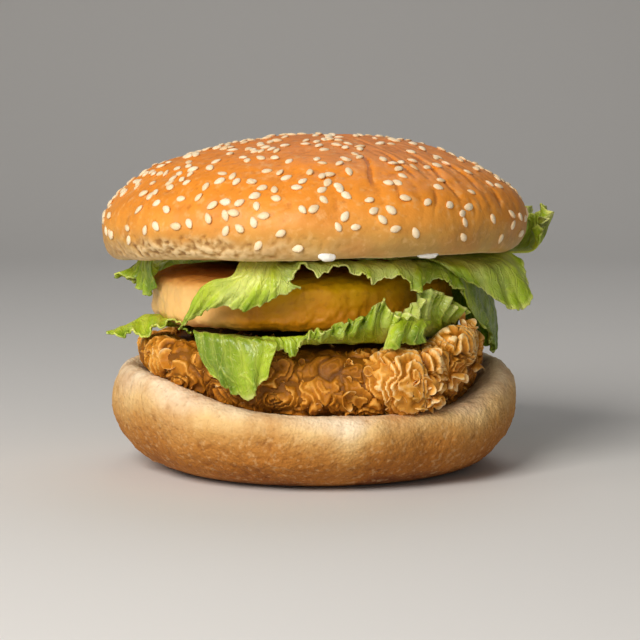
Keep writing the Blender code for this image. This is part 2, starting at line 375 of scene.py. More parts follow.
class Finish:
    """A material under way: its tree, and its Principled shader with constant values set."""

    def __init__(self, name, **constants):
        self.material = bpy.data.materials.new(name)
        self.material.use_nodes = True
        self.tree = self.material.node_tree
        self.shader = self.tree.nodes["Principled BSDF"]
        for label, value in constants.items():
            self.shader.inputs[label.replace("_", " ")].default_value = value

    def use(self, group, **inputs):
        node = add_node(self.tree, "ShaderNodeGroup", node_tree=group)
        for label, value in inputs.items():
            socket = node.inputs[label.replace("_", " ")]
            if isinstance(value, bpy.types.NodeSocket):
                self.tree.links.new(value, socket)
            else:
                socket.default_value = value
        return node.outputs[0]

    def feed(self, label, socket):
        self.tree.links.new(socket, self.shader.inputs[label])

    def painted(self, name, output="Fac"):
        """What the mesh stores at each of its points under this name."""
        return add_node(self.tree, "ShaderNodeAttribute", attribute_name=name).outputs[output]

    def bump(self, height, strength, distance, under=None):
        inputs = {"Height": height, "Strength": strength, "Distance": distance * MM}
        if under:
            inputs["Normal"] = under
        return add_node(self.tree, "ShaderNodeBump", inputs).outputs["Normal"]

    def mottle(self, colour, patches, specks):
        """A colour with patches and specks in it, each a colour, a scale and an amount."""
        (patch, patch_scale, patch_amount), (speck, speck_scale, speck_amount) = patches, specks
        return self.use(
            MOTTLE, Colour=colour, Patch_Colour=rgba(*patch), Patch_Scale=patch_scale,
            Patch_Amount=patch_amount, Speck_Colour=rgba(*speck), Speck_Scale=speck_scale,
            Speck_Amount=speck_amount,
        )

    def grain(self, roughness, strength, distance, **scales):
        """Fine grain in the roughness, from its first value to its second, and in the bump."""
        height = self.use(GRAIN, **scales)
        self.feed("Roughness", map_range(self.tree, height, 0.0, 1.0, *roughness))
        self.feed("Normal", self.bump(height, strength, distance))


def crown_finish():
    """Glazed crust: deep gold on top, paler at the skirt, and bare crumb where it is torn."""
    finish = Finish(
        "glazed crust", Coat_Roughness=0.32, Subsurface_Weight=0.04, Specular_IOR_Level=0.3,
        Subsurface_Radius=(0.004, 0.002, 0.001), Subsurface_Scale=0.6,
    )
    tree = finish.tree
    rise = finish.painted("rise")
    gold = ramp(tree, rise, [
        (0.00, (0.58, 0.38, 0.13)), (0.05, (0.50, 0.30, 0.075)), (0.17, (0.58, 0.30, 0.060)),
        (0.29, (0.78, 0.33, 0.050)), (0.46, (0.85, 0.30, 0.030)), (0.70, (0.88, 0.28, 0.016)),
        (1.00, (0.80, 0.215, 0.009)),
    ])
    mottled = finish.mottle(
        gold, patches=((0.60, 0.19, 0.02), 75.0, 0.45),
        specks=((0.88, 0.56, 0.24), 520.0, 0.32),
    )
    bare = finish.painted("bare")
    ridge = finish.painted("ridge")
    crumb = ramp(tree, ridge, [
        (0.28, (0.44, 0.24, 0.070)), (0.48, (0.52, 0.31, 0.11)), (0.68, (0.76, 0.54, 0.27)),
    ])
    colour = blend(tree, bare, mottled, crumb)
    shade = ramp(tree, ridge, [(0.30, (0.62, 0.55, 0.5)), (0.5, (1.0, 1.0, 1.0))])
    finish.feed("Base Color", blend(tree, 1.0, colour, shade, "MULTIPLY"))
    glaze = map_range(tree, rise, 0.1, 0.4, 0.0, 0.09)
    finish.feed("Coat Weight", maths(tree, "SUBTRACT", glaze, bare, clamp=True))
    finish.grain((0.36, 0.60), 0.35, 0.35, Wrinkle_Scale=420.0, Pore_Scale=1500.0, Pore_Share=0.25)
    return finish.material


def heel_finish():
    """Matt crust: cream where it was cut, tan on the sides, and browned below, with painted shade
    darkening the bottom further.
    """
    finish = Finish(
        "matt crust", Subsurface_Weight=0.05, Specular_IOR_Level=0.3,
        Subsurface_Radius=(0.004, 0.003, 0.002), Subsurface_Scale=0.6,
    )
    tree = finish.tree
    # Darker towards the bottom: browned crust, and painted shade where the underside faces away from the
    # light.
    brown = ramp(tree, finish.painted("rise"), [
        (0.00, (0.19, 0.050, 0.004)), (0.10, (0.33, 0.105, 0.009)), (0.30, (0.38, 0.135, 0.015)),
        (0.48, (0.46, 0.190, 0.032)), (0.64, (0.60, 0.320, 0.090)), (0.80, (0.79, 0.53, 0.23)),
        (1.00, (0.93, 0.76, 0.53)),
    ])
    mottled = finish.mottle(
        brown, patches=((0.48, 0.19, 0.030), 85.0, 0.55),
        specks=((0.86, 0.60, 0.30), 650.0, 0.30),
    )
    cut = finish.painted("cut")
    colour = blend(tree, cut, mottled, rgba(0.86, 0.66, 0.40))
    shade = ramp(
        tree, finish.painted("ridge"), [(0.25, (0.6, 0.52, 0.45)), (0.5, (1.0, 1.0, 1.0))]
    )
    finish.feed("Base Color", blend(tree, 1.0, colour, shade, "MULTIPLY"))
    finish.grain((0.66, 0.92), 0.8, 0.6, Wrinkle_Scale=520.0, Pore_Scale=1300.0, Pore_Share=0.4)
    return finish.material


def fillet_finish():
    """Fried crumb: painted shade between the flakes, light along their edges, with a little oil."""
    finish = Finish(
        "fried crumb", Subsurface_Weight=0.10, Coat_Weight=0.03, Coat_Roughness=0.3,
        Specular_IOR_Level=0.18, Subsurface_Radius=(0.003, 0.0015, 0.0005), Subsurface_Scale=0.5,
    )
    tree = finish.tree
    crumb = ramp(tree, finish.painted("ridge"), [
        (0.06, (0.12, 0.036, 0.001)), (0.24, (0.22, 0.074, 0.003)), (0.44, (0.50, 0.180, 0.010)),
        (0.64, (0.88, 0.43, 0.080)), (0.84, (0.97, 0.72, 0.36)),
    ])
    mottled = finish.mottle(
        crumb, patches=((0.46, 0.19, 0.008), 140.0, 0.28),
        specks=((0.24, 0.07, 0.008), 700.0, 0.3),
    )
    finish.feed("Base Color", mottled)
    finish.grain((0.34, 0.72), 0.5, 0.35, Wrinkle_Scale=900.0, Pore_Scale=1600.0, Pore_Share=0.35)
    return finish.material


def fritter_finish():
    """Smooth fried batter: gold, browner in patches along its wall, with painted light: a pale orange
    skin on the lit left side, and a lighter top where the leaves shade it.
    """
    finish = Finish(
        "fried batter", Subsurface_Weight=0.10, Coat_Weight=0.03, Coat_Roughness=0.3,
        Specular_IOR_Level=0.2, Subsurface_Radius=(0.004, 0.002, 0.0006), Subsurface_Scale=0.8,
    )
    tree = finish.tree
    # Darker towards the bottom; the top is painted lighter where the leaves shade it.
    batter = ramp(tree, finish.painted("rise"), [
        (0.00, (0.36, 0.12, 0.003)), (0.25, (0.52, 0.205, 0.004)), (0.50, (0.64, 0.29, 0.004)),
        (0.80, (0.80, 0.43, 0.004)), (1.00, (0.84, 0.44, 0.004)),
    ])
    mottled = finish.mottle(
        batter, patches=((0.58, 0.20, 0.008), 110.0, 0.65),
        specks=((0.36, 0.12, 0.006), 450.0, 0.45),
    )
    # Painted light: the lit left side gets a pale orange skin, reddening at its top.
    lit_left_side = maths(tree, "MULTIPLY", finish.painted("lit_left_side"), 0.85)
    skin = ramp(tree, finish.painted("rise"), [
        (0.00, (0.90, 0.56, 0.20)), (0.70, (0.92, 0.58, 0.22)), (0.92, (0.94, 0.40, 0.09)),
    ])
    smooth = blend(tree, lit_left_side, mottled, skin)
    # The notch is painted the deep red-orange that the batter shows in shade, made bright so it shows
    # under the crown's shadow.
    notch = finish.painted("notch")
    finish.feed("Base Color", blend(tree, notch, smooth, rgba(0.96, 0.20, 0.02)))
    finish.grain((0.30, 0.58), 0.35, 0.3, Wrinkle_Scale=500.0, Pore_Scale=1400.0, Pore_Share=0.3)
    return finish.material


def lettuce_finish():
    """Lettuce: yellow-green blades between pale veins, with moist, thin, translucent flesh; painted
    light on the thin edges, painted shade, and a painted whitish sheen.
    """
    finish = Finish(
        "lettuce", Subsurface_Weight=0.28, Coat_Weight=0.16, Coat_Roughness=0.22,
        Specular_IOR_Level=0.35, Subsurface_Radius=(0.0016, 0.0022, 0.0005), Subsurface_Scale=1.0,
    )
    tree = finish.tree
    leaf = finish.painted("leaf", "Vector")
    warp = noise(tree, leaf, 0.25, 2.0)["Color"]
    shift = add_node(tree, "ShaderNodeVectorMath", {0: warp, "Scale": 3.0}, operation="SCALE")
    bent = add_node(
        tree, "ShaderNodeVectorMath", {0: leaf, 1: shift.outputs[0]}, operation="ADD"
    ).outputs[0]
    ribs = cell_lines(tree, bent, (0.30, 0.085, 1.0), 0.07, 1.0)
    net = cell_lines(tree, bent, (0.75, 0.42, 1.0), 0.09, 0.45)
    veins = maths(tree, "MAXIMUM", ribs, net)
    # The last stop paints light on the thin free edge.
    blade = ramp(tree, finish.painted("free"), [
        (0.00, (0.62, 0.68, 0.035)), (0.30, (0.58, 0.67, 0.032)), (0.65, (0.53, 0.66, 0.045)),
        (0.93, (0.44, 0.58, 0.030)), (0.98, (0.76, 0.82, 0.20)),
    ])
    shade = finish.painted("shade")
    # Low shade values darken the blade with painted shade, and the leaf's own patches darken it too.
    dim = ramp(tree, shade, [
        (0.15, (0.24, 0.34, 0.06)), (0.48, (0.72, 0.80, 0.50)), (0.75, (1.0, 1.0, 1.0)),
    ])
    # High shade values add a painted whitish sheen.
    painted_sheen = ramp(tree, shade, [(0.62, (0.0, 0.0, 0.0)), (0.90, (0.34, 0.34, 0.34))])
    blade = blend(tree, 1.0, blade, dim, "MULTIPLY")
    blade = blend(tree, painted_sheen, blade, rgba(0.78, 0.84, 0.40))
    mottled = finish.mottle(
        blade, patches=((0.15, 0.24, 0.008), 75.0, 0.7),
        specks=((0.50, 0.56, 0.10), 700.0, 0.25),
    )
    pale = maths(tree, "MULTIPLY", finish.painted("rib"), 0.45)
    line = maths(tree, "MAXIMUM", maths(tree, "MULTIPLY", veins, 0.42), pale, clamp=True)
    finish.feed("Base Color", blend(tree, line, mottled, rgba(0.60, 0.66, 0.11)))
    finish.feed("Roughness", map_range(tree, veins, 0.0, 1.0, 0.32, 0.46))
    grain = finish.use(GRAIN, Wrinkle_Scale=500.0, Pore_Scale=1500.0, Pore_Share=0.2)
    fine = finish.bump(grain, 0.3, 0.25)
    finish.feed("Normal", finish.bump(veins, 0.5, 0.5, under=fine))
    return finish.material


def seed_finish():
    """Sesame: cream to browned, each seed with its own tone, darker at its point and with painted shade
    round its rim.
    """
    finish = Finish(
        "sesame seed", Subsurface_Weight=0.15, Subsurface_Radius=(0.001, 0.0008, 0.0005),
        Subsurface_Scale=0.6,
    )
    tree = finish.tree
    cream = ramp(tree, finish.painted("tone"), [
        (0.0, (0.74, 0.48, 0.22)), (0.35, (0.86, 0.66, 0.40)), (1.0, (0.93, 0.80, 0.58)),
    ])
    mottled = finish.mottle(
        cream, patches=((0.80, 0.56, 0.30), 500.0, 0.4),
        specks=((0.55, 0.30, 0.12), 2500.0, 0.2),
    )
    finish.feed("Base Color", mottled)
    finish.grain((0.36, 0.55), 0.3, 0.12, Wrinkle_Scale=1500.0, Pore_Scale=4000.0, Pore_Share=0.3)
    return finish.material


def sauce_finish():
    """Mayonnaise: wet, thick and cream white."""
    finish = Finish(
        "mayonnaise", Subsurface_Weight=0.3, Coat_Weight=0.3, Coat_Roughness=0.12,
        Subsurface_Radius=(0.003, 0.0028, 0.002), Subsurface_Scale=1.0,
    )
    mottled = finish.mottle(
        rgba(0.94, 0.92, 0.84), patches=((0.90, 0.86, 0.70), 200.0, 0.4),
        specks=((0.6, 0.55, 0.3), 1500.0, 0.1),
    )
    finish.feed("Base Color", mottled)
    finish.grain((0.2, 0.4), 0.2, 0.4, Wrinkle_Scale=300.0, Pore_Scale=1500.0, Pore_Share=0.1)
    return finish.material


# ---------------------------------------------------------------- what the frame measures

def millimetres(node):
    """The two corners of a node's box, in millimetres."""
    low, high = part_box(node)
    return np.array(low) / MM, np.array(high) / MM


def surface_height(node, x, y, upwards):
    """The height where a vertical line through x, y first meets a node, from below or above."""
    tree = tree_of(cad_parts[node])
    low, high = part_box(node)
    start = low.z - 10.0 * MM if upwards else high.z + 10.0 * MM
    direction = Vector((0.0, 0.0, 1.0 if upwards else -1.0))
    return tree.ray_cast(Vector((x * MM, y * MM, start)), direction)[0].z / MM


class Stack:
    """The burger's layers, measured on the CAD nodes once."""

    fritter_low, fritter_high = millimetres("fritter")
    crown_low, crown_high = millimetres("bun_crown")
    fritter_radius = (fritter_high[0] - fritter_low[0]) / 2.0
    fritter_offset = (fritter_high[0] + fritter_low[0]) / 2.0
    crown_radius = (crown_high[0] - crown_low[0]) / 2.0
    crown_middle = surface_height("bun_crown", 0.0, 0.0, True)
    run = 30.0
    crown_side = (surface_height("bun_crown", run, 0.0, True) - crown_middle) / run
    crown_back = (surface_height("bun_crown", 0.0, run, True) - crown_middle) / run
    fillet_flat = surface_height("chicken_fillet", 0.0, 0.0, False)


def crown_underside(x, y):
    """The height of the crown's sloping underside."""
    return Stack.crown_middle + Stack.crown_side * x + Stack.crown_back * y


def upper_layer(x, y):
    """Half way between the fritter and the crown."""
    return (Stack.fritter_high[2] + crown_underside(x, y)) / 2.0


def against_crown(x, y):
    """Just under the crown."""
    return crown_underside(x, y) - UNDER_CROWN


def lower_layer(x, y):
    """Half way between the fillet and the fritter, which is level."""
    return (Stack.fillet_flat + Stack.fritter_low[2]) / 2.0 + 0.0 * x


def past_fritter(azimuth):
    """Clear of the fritter, which stands off the middle."""
    across = Stack.fritter_offset * np.sin(azimuth)
    along = Stack.fritter_offset * np.cos(azimuth)
    return along + np.sqrt(Stack.fritter_radius**2 - across**2) + CLEARANCE


def past_fillet(azimuth):
    """Clear of the fillet's widest points."""
    return np.interp(np.degrees(azimuth), *FILLET_REACH) + PAST_FILLET


def past_crown(azimuth):
    """Clear of the crown's widest ring."""
    return Stack.crown_radius + CLEARANCE + 0.0 * azimuth


def fillet_drop(steps=72, radius=40.0, gap=0.5):
    """How far the fillet's lower edge hangs down to lie on the heel, by azimuth in degrees."""
    azimuths = np.linspace(-180.0, 180.0, steps + 1)
    drops = []
    for azimuth in np.radians(azimuths):
        x, y = radius * math.cos(azimuth), radius * math.sin(azimuth)
        under = surface_height("chicken_fillet", x, y, True)
        drops.append(max(under - surface_height("bun_heel", x, y, False) - gap, 0.0))
    return azimuths, drops


def most_by_azimuth(node, steps, measure):
    """The largest measure of a node's points near each azimuth, from -180 to 180 degrees."""
    places = points(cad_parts[node])
    values = measure(places)
    azimuths = np.linspace(-180.0, 180.0, steps + 1)
    most = []
    for middle in azimuths:
        turn = (polar(places)[1] - middle + 180.0) % 360.0 - 180.0
        most.append(values[np.abs(turn) < 360.0 / steps].max())
    return azimuths, most


FILLET_REACH = most_by_azimuth("chicken_fillet", 36, lambda places: polar(places)[0])
HEEL_CREST = most_by_azimuth("bun_heel", 48, lambda places: places[:, 2])
FILLET_DROP = fillet_drop()


# ---------------------------------------------------------------- buns

def make_crown():
    """The crown: a glazed dome with a wrinkled right side and a torn lower left edge."""
    crown = even_copy("bun_crown", "crown", 0.62, 14)
    places = points(crown)
    azimuth = polar(places)[1]
    above = places[:, 2] - crown_underside(places[:, 0], places[:, 1])
    tall = Stack.crown_high[2] - Stack.crown_middle
    torn = around(azimuth, TORN_EDGE, 34.0) * smooth_step(0.0, 1.5, above)
    torn *= 1.0 - smooth_step(4.5, 8.5, above)
    mask(crown, "torn", torn)
    creases = np.zeros(len(places))
    # Each crease: its azimuth, the heights it runs between and its depth
    rows = ((-73.0, 17.0, 28.0, 0.5), (-66.0, 12.0, 21.0, 0.35), (-60.5, 18.0, 29.0, 0.6),
            (-56.0, 9.0, 19.0, 0.4), (-48.0, 12.0, 27.0, 0.6), (-43.0, 8.0, 16.0, 0.35),
            (-37.0, 15.0, 26.0, 0.5), (-29.0, 10.0, 18.0, 0.4))
    for index, (centre, low, high, depth) in enumerate(rows):
        path = centre + 0.9 * np.sin(0.55 * above + 1.7 * index) + 0.22 * (above - 16.0)
        window = smooth_step(low, low + 4.0, above) * smooth_step(high, high - 5.0, above)
        fold = around(azimuth, path, 0.75) - 0.5 * around(azimuth, path + 2.4, 1.9)
        creases += depth * fold * window
    spread = np.column_stack([azimuth, 0.2 * above, 0.0 * above])
    wrinkled = around(azimuth, CREASES, 24.0) * smooth_step(7.0, 12.0, above)
    creases += 0.16 * uneven(spread, 1.5, 3) * wrinkled
    sunk = places - normals(crown) * creases[:, None]
    sunk[:, 2] += 0.5 * uneven(places, 13.0, 9) * (1.0 - smooth_step(2.0, 9.0, above))
    set_points(crown, sunk)
    mask(crown, "skin", smooth_step(0.5, 4.0, above))
    relief(crown, "CLOUDS", 14.0, 1.6, "skin", noise_depth=1)
    relief(crown, "CLOUDS", 5.0, 0.35, "skin", noise_depth=3)
    relief(crown, "CLOUDS", 2.6, 1.3, "torn", noise_depth=5)
    relief(crown, "VORONOI", 1.7, -0.5, "torn", level=0.3)
    relief(crown, "CLOUDS", 1.6, 0.32, noise_depth=3)
    paint_ridges(crown, "ridge", 10, 0.35)
    paint(crown, "rise", above / tall)
    ragged = np.sin(places[:, 0] * 0.9) * 0.3 + np.sin(places[:, 0] * 0.37 + 1.0) * 0.5
    rim = 1.0 - smooth_step(3.0, 6.5, above + 1.5 * ragged)
    paint(crown, "bare", rim * around(azimuth, TORN_EDGE, 38.0) + (above < 0.35))
    return take(crown, crown_finish(), "crust", "bun_crown")


def make_heel():
    """The heel: full, matt sides that were pressed in by a thumb, and a cream cut face."""
    heel = even_copy("bun_heel", "heel", 0.62, 14)
    places = points(heel)
    radius, azimuth = polar(places)
    facing = normals(heel)
    side = smooth_step(1.5, 5.0, places[:, 2]) * smooth_step(0.25, -0.2, facing[:, 2] - 0.6)
    mask(heel, "side", side)
    mask(heel, "all", smooth_step(0.5, 3.0, places[:, 2]))
    dents = np.zeros(len(places))
    for dent in ((-104.0, 7.0, 13.5, 4.0), (-88.0, 9.0, 10.5, 4.0),
                 (-60.0, 8.0, 12.0, 5.0), (-140.0, 8.0, 12.0, 5.0)):
        dents += spot(azimuth, places[:, 2], *dent)
    pressed = places - facing * (1.1 * np.clip(dents, 0.0, 1.0) * side)[:, None]
    set_points(heel, pressed)
    relief(heel, "CLOUDS", 12.0, 1.5, "side", noise_depth=1)
    relief(heel, "CLOUDS", 3.5, 0.55, "all", noise_depth=4)
    relief(heel, "VORONOI", 1.6, -0.30, "all", level=0.3)
    relief(heel, "CLOUDS", 1.1, 0.42, "all", noise_depth=3)
    paint_ridges(heel, "ridge", 10, 0.4)
    crest = np.interp(azimuth, *HEEL_CREST)
    # Random tone round the heel, plus painted light on the front highlight near -80 and on the lit left
    # near -135, and painted shade near -107 and on the right side near -57.
    tone_and_painted_light = 0.05 * np.sin(0.11 * azimuth + 1.0) + 0.03 * np.sin(0.27 * azimuth)
    tone_and_painted_light += 0.22 * around(azimuth, -80.0, 6.0) + 0.10 * around(azimuth, -135.0, 14.0)
    tone_and_painted_light -= 0.14 * around(azimuth, -107.0, 10.0) + 0.22 * around(azimuth, -57.0, 18.0)
    paint(heel, "rise", places[:, 2] / crest + tone_and_painted_light)
    inside = smooth_step(0.75, 0.95, facing[:, 2]) * smooth_step(50.5, 47.5, radius)
    paint(heel, "cut", inside)
    return take(heel, heel_finish(), "heel_crust", "bun_heel")


# ---------------------------------------------------------------- small things, in joined meshes

def template(segments, rings, shape):
    """A closed small shape: a sphere's points moved by shape, and its faces."""
    bpy.ops.object.select_all(action="DESELECT")
    bpy.ops.mesh.primitive_uv_sphere_add(segments=segments, ring_count=rings, radius=1.0)
    piece = bpy.context.object
    places = np.array([vertex.co for vertex in piece.data.vertices])
    faces = [tuple(face.vertices) for face in piece.data.polygons]
    bpy.data.objects.remove(piece)
    return shape(places), faces


def joined(name, copies, marks):
    """One mesh of many (points, faces) copies, with a painted number for each point."""
    every_place, every_face, start = [], [], 0
    for places, faces in copies:
        every_place.append(places)
        every_face += [tuple(corner + start for corner in face) for face in faces]
        start += len(places)
    mesh = bpy.data.meshes.new(name)
    mesh.from_pydata((np.concatenate(every_place) * MM).tolist(), [], every_face)
    piece = bpy.data.objects.new(name, mesh)
    bpy.context.scene.collection.objects.link(piece)
    for label, values in marks.items():
        paint(piece, label, np.concatenate(values))
    return piece


def turned_to(normal, spin, tilt=0.0):
    """Axes whose third column is normal, spun about it and then tilted over."""
    normal = normal / np.linalg.norm(normal)
    side = np.cross(normal, (0.0, 0.0, 1.0) if abs(normal[2]) < 0.9 else (1.0, 0.0, 0.0))
    side /= np.linalg.norm(side)
    ahead = np.cross(normal, side)
    first = side * math.cos(spin) + ahead * math.sin(spin)
    second = np.cross(normal, first)
    lifted = normal * math.cos(tilt) + second * math.sin(tilt)
    return np.stack([first, np.cross(lifted, first), lifted], axis=1)


def teardrop(places):
    """A sesame seed, 3.2 mm long: pointed at one end, with domed faces."""
    along = places[:, 0]
    narrow = 1.0 - 0.30 * smooth_step(-0.1, 1.0, along) - 0.08 * smooth_step(0.2, 1.0, -along)
    return np.stack(
        [1.55 * along + 0.08 * along**2, 1.02 * places[:, 1] * narrow, 0.46 * places[:, 2] * narrow],
        axis=1,
    )


def make_seeds(crown, count=460, gap=2.3, most_tries=80000):
    """Sesame seeds strewn over the crown, thickest on the left, each at least gap from the last 200
    placed.
    """
    chance = random.Random(11)
    surface = tree_of(crown)
    shape, faces = template(10, 7, teardrop)
    rim = smooth_step(0.70, 1.02, np.hypot(shape[:, 0] / 1.6, shape[:, 1]))
    centre = Vector((0.0, 0.0, Stack.crown_middle * MM))
    taken, copies, tones = [], [], []
    tries = 0
    while len(copies) < count and tries < most_tries:
        tries += 1
        turn, rise = math.radians(chance.uniform(-180.0, 180.0)), chance.uniform(0.12, 1.0)
        bare = 0.32 + 0.68 * smooth_step(0.22, 0.42, rise)
        level = math.sqrt(1.0 - rise**2)
        left = 0.5 - 0.5 * math.cos(turn) * level
        clump = 0.5 + 0.5 * math.sin(12.0 * turn + 3.0 * rise) * math.sin(4.0 * turn - 9.0 * rise)
        if chance.random() > bare * (0.40 + 0.60 * left) * (0.40 + 0.60 * clump):
            continue
        way = Vector((math.cos(turn) * level, math.sin(turn) * level, 0.6 * rise)).normalized()
        place, normal, _, _ = surface.ray_cast(centre, way)
        if place is None or place.z / MM < Stack.crown_middle + 5.0:
            continue
        place = np.array(place) / MM
        if any(np.linalg.norm(place - other) < gap for other in taken[-200:]):
            continue
        taken.append(place)
        size = chance.uniform(0.86, 1.10)
        axes = turned_to(np.array(normal), chance.uniform(0.0, 6.283), chance.gauss(0.0, 0.12))
        sunk = place + np.array(normal) * chance.uniform(0.05, 0.28)
        copies.append((shape * size @ axes.T + sunk, faces))
        # Darker towards the point, and painted shade round the rim where the seed meets the crust.
        toasted_and_rim_shade = 0.25 * smooth_step(0.6, 1.7, shape[:, 0]) + 0.6 * rim
        tones.append(np.clip(chance.betavariate(4.0, 1.6) - toasted_and_rim_shade, 0.0, 1.0))
    seeds = joined("sesame_seeds", copies, {"tone": tones})
    return take(seeds, seed_finish(), "seed")


# ---------------------------------------------------------------- fillet and fritter

def make_fillet(finish):
    """The fillet under its crust: lumps at its ends, and a lower edge that lies on the heel."""
    fillet = even_copy("chicken_fillet", "fillet", 0.6, 6)
    places = points(fillet)
    radius, azimuth = polar(places)
    up = places[:, 2]
    swell = 3.0 * spot(azimuth, up, -61.0, 13.0, 27.0, 7.0)
    swell += 1.6 * around(azimuth, -37.0, 11.0) * smooth_step(28.0, 36.0, up)
    swell += 2.4 * spot(azimuth, up, -146.0, 13.0, 30.0, 6.0)
    swell -= 2.4 * around(azimuth, -90.0, 15.0) * smooth_step(24.0, 32.0, up)
    swell += 1.4 * spot(azimuth, up, -85.0, 50.0, 24.5, 3.0)
    swell *= smooth_step(36.0, 43.0, radius)
    way = places[:, :2] / np.maximum(radius, 1.0)[:, None]
    lifted = up + 3.4 * around(azimuth, -148.0, 17.0) * smooth_step(41.0, 45.0, radius) * (
        smooth_step(30.0, 35.0, up))
    drop = np.interp(azimuth, *FILLET_DROP)
    lifted -= drop * (1.0 - smooth_step(22.0, 30.0, up)) * smooth_step(30.0, 40.0, radius)
    set_points(fillet, np.column_stack([places[:, :2] + way * swell[:, None], lifted]))
    mask(fillet, "crumb", smooth_step(30.0, 38.0, radius))
    relief(fillet, "CLOUDS", 9.0, 1.6, "crumb", level=0.55, noise_depth=1)
    paint(fillet, "ridge", 0.15 + 0.0 * up)
    return take(fillet, finish, "fillet_crust", "chicken_fillet")


def crust_lumps(places, count=130):
    """Lumps of crust over the side: each one's middle, size, height, ridge width and cup."""
    chance = random.Random(17)
    # The large ones: azimuth, height, size and how far they stand out
    large = ((RAISED_END, 27.5, 2.3, 1.5), (-52.0, 30.5, 1.7, 1.2), (-39.0, 38.5, 2.3, 1.6),
             (-43.0, 29.0, 1.5, 1.0), (-148.0, 31.5, 1.7, 1.4), (-135.0, 28.0, 1.4, 1.0))
    _, azimuth = polar(places)
    middles, sizes, heights = [], [], []
    for centre, height, size, lift in large:
        miss = np.abs(azimuth - centre) * 0.8 + np.abs(places[:, 2] - height)
        middles.append(places[np.argmin(miss)])
        sizes.append(size)
        heights.append(lift)
    while len(middles) < count:
        tries = [places[chance.randrange(len(places))] for _ in range(14)]
        spare = [min(np.linalg.norm(np.array(middles) - place, axis=1) / sizes) for place in tries]
        middles.append(tries[int(np.argmax(spare))])
        sizes.append(chance.uniform(0.7, 1.25))
        heights.append(chance.uniform(0.0, 0.8))
    widths = np.array([chance.uniform(1.4, 2.2) for _ in middles])
    cups = np.array([chance.choice((-1.0, 1.0, 1.0)) for _ in middles])
    return np.array(middles), np.array(sizes), np.array(heights), widths, cups


def side_of(piece, columns, rows, core=(34.0, 28.0), tips=(-1.30, 1.05)):
    """A piece's side, seen from a ring inside it of core's radius and height, between two tips.

    Returns places and normals, rows of them up the side at each of the columns.
    """
    surface = tree_of(piece)
    places, facing = [], []
    for turn in np.linspace(-math.pi, math.pi, columns, endpoint=False):
        out = Vector((math.cos(turn), math.sin(turn), 0.0))
        start = (out * core[0] + Vector((0.0, 0.0, core[1]))) * MM
        for tip in np.linspace(*tips, rows):
            way = out * math.cos(tip) + Vector((0.0, 0.0, math.sin(tip)))
            place, normal, _, _ = surface.ray_cast(start, way)
            places.append(place / MM)
            facing.append(normal if normal.dot(way) > 0.0 else -normal)
    return np.array(places), np.array(facing)


def ring_faces(columns, rows):
    """The faces of a band that is closed round its columns and, inside the piece, its rows."""
    faces = []
    for column in range(columns):
        following = (column + 1) % columns
        for row in range(rows):
            above = (row + 1) % rows
            faces.append((column * rows + row, following * rows + row,
                          following * rows + above, column * rows + above))
    return faces


def make_crust_band(fillet, finish, columns=960, rows=102):
    """The crust round the fillet's side: lumps ringed by wavy ridges that overlap like petals."""
    places, facing = side_of(fillet, columns, rows)
    middles, sizes, heights, widths, cups = crust_lumps(places[::7])
    warped = places + np.stack([uneven(places, 3.2, seed) for seed in (1, 2, 3)], axis=1) * 1.2
    gaps = np.linalg.norm(warped[:, None, :] - middles[None, :, :], axis=2) / sizes[None, :]
    order = np.argsort(gaps, axis=1)[:, :2]
    every = np.arange(len(places))
    nearest = order[:, 0]
    near, next_near = gaps[every, nearest], gaps[every, order[:, 1]]
    away = warped - middles[nearest]
    away /= np.maximum(np.linalg.norm(away, axis=1), 0.3)[:, None]
    far = near * sizes[nearest] + 1.0 * uneven(places, 3.2, 4) + 0.3 * uneven(places, 1.1, 5)
    phase = (far / widths[nearest]) % 1.0
    phase = np.where(cups[nearest] > 0.0, phase, 1.0 - phase)
    crest = smooth_step(0.05, 0.78, phase) * (1.0 - smooth_step(0.84, 1.0, phase))
    cleft = np.exp(-(((next_near - near) / 0.8) ** 2))
    radius, azimuth = polar(places)
    calm = around(azimuth, -86.0, 12.0) * smooth_step(26.5, 30.0, places[:, 2])
    strength = (1.0 - 0.85 * calm) * (0.75 + 0.25 * uneven(places, 6.0, 6))
    strength *= smooth_step(33.0, 39.0, radius)
    dome = heights[nearest] * np.clip(1.0 - (near / 4.6) ** 2, 0.0, 1.0)
    lift = 1.3 * crest * strength - 1.6 * cleft * strength + 1.2 * dome
    lean = (cups[nearest] * 0.6 * crest * strength)[:, None] * away
    swept = places + facing * lift[:, None] + lean
    edge = crest * smooth_step(0.50, 0.82, phase)
    valley = 1.0 - smooth_step(0.0, 0.40, phase)
    # Crust colour: random tone, painted light on the raised lumps, and painted shade in the calm middle.
    ridge = 0.37 + 0.08 * uneven(places, 5.0, 7) + 0.10 * heights[nearest] - 0.16 * calm
    # Lighter along the ridges' edges, and painted shade in the valleys between them.
    ridge += (0.38 * edge - 0.22 * valley) * strength * (0.8 + 0.2 * heights[nearest])
    over_heel = places[:, 2] - np.interp(azimuth, *HEEL_CREST)
    low = (1.0 - smooth_step(0.0, 5.5, over_heel)) * (1.0 - 0.6 * around(azimuth, -60.0, 12.0))
    # Painted shade in the clefts between lumps and low down next to the heel.
    ridge -= 0.30 * cleft + 0.22 * low
    band = joined("crust_band", [(swept, ring_faces(columns, rows))], {"ridge": [ridge]})
    return take(band, finish, "fillet_crust", "chicken_fillet")


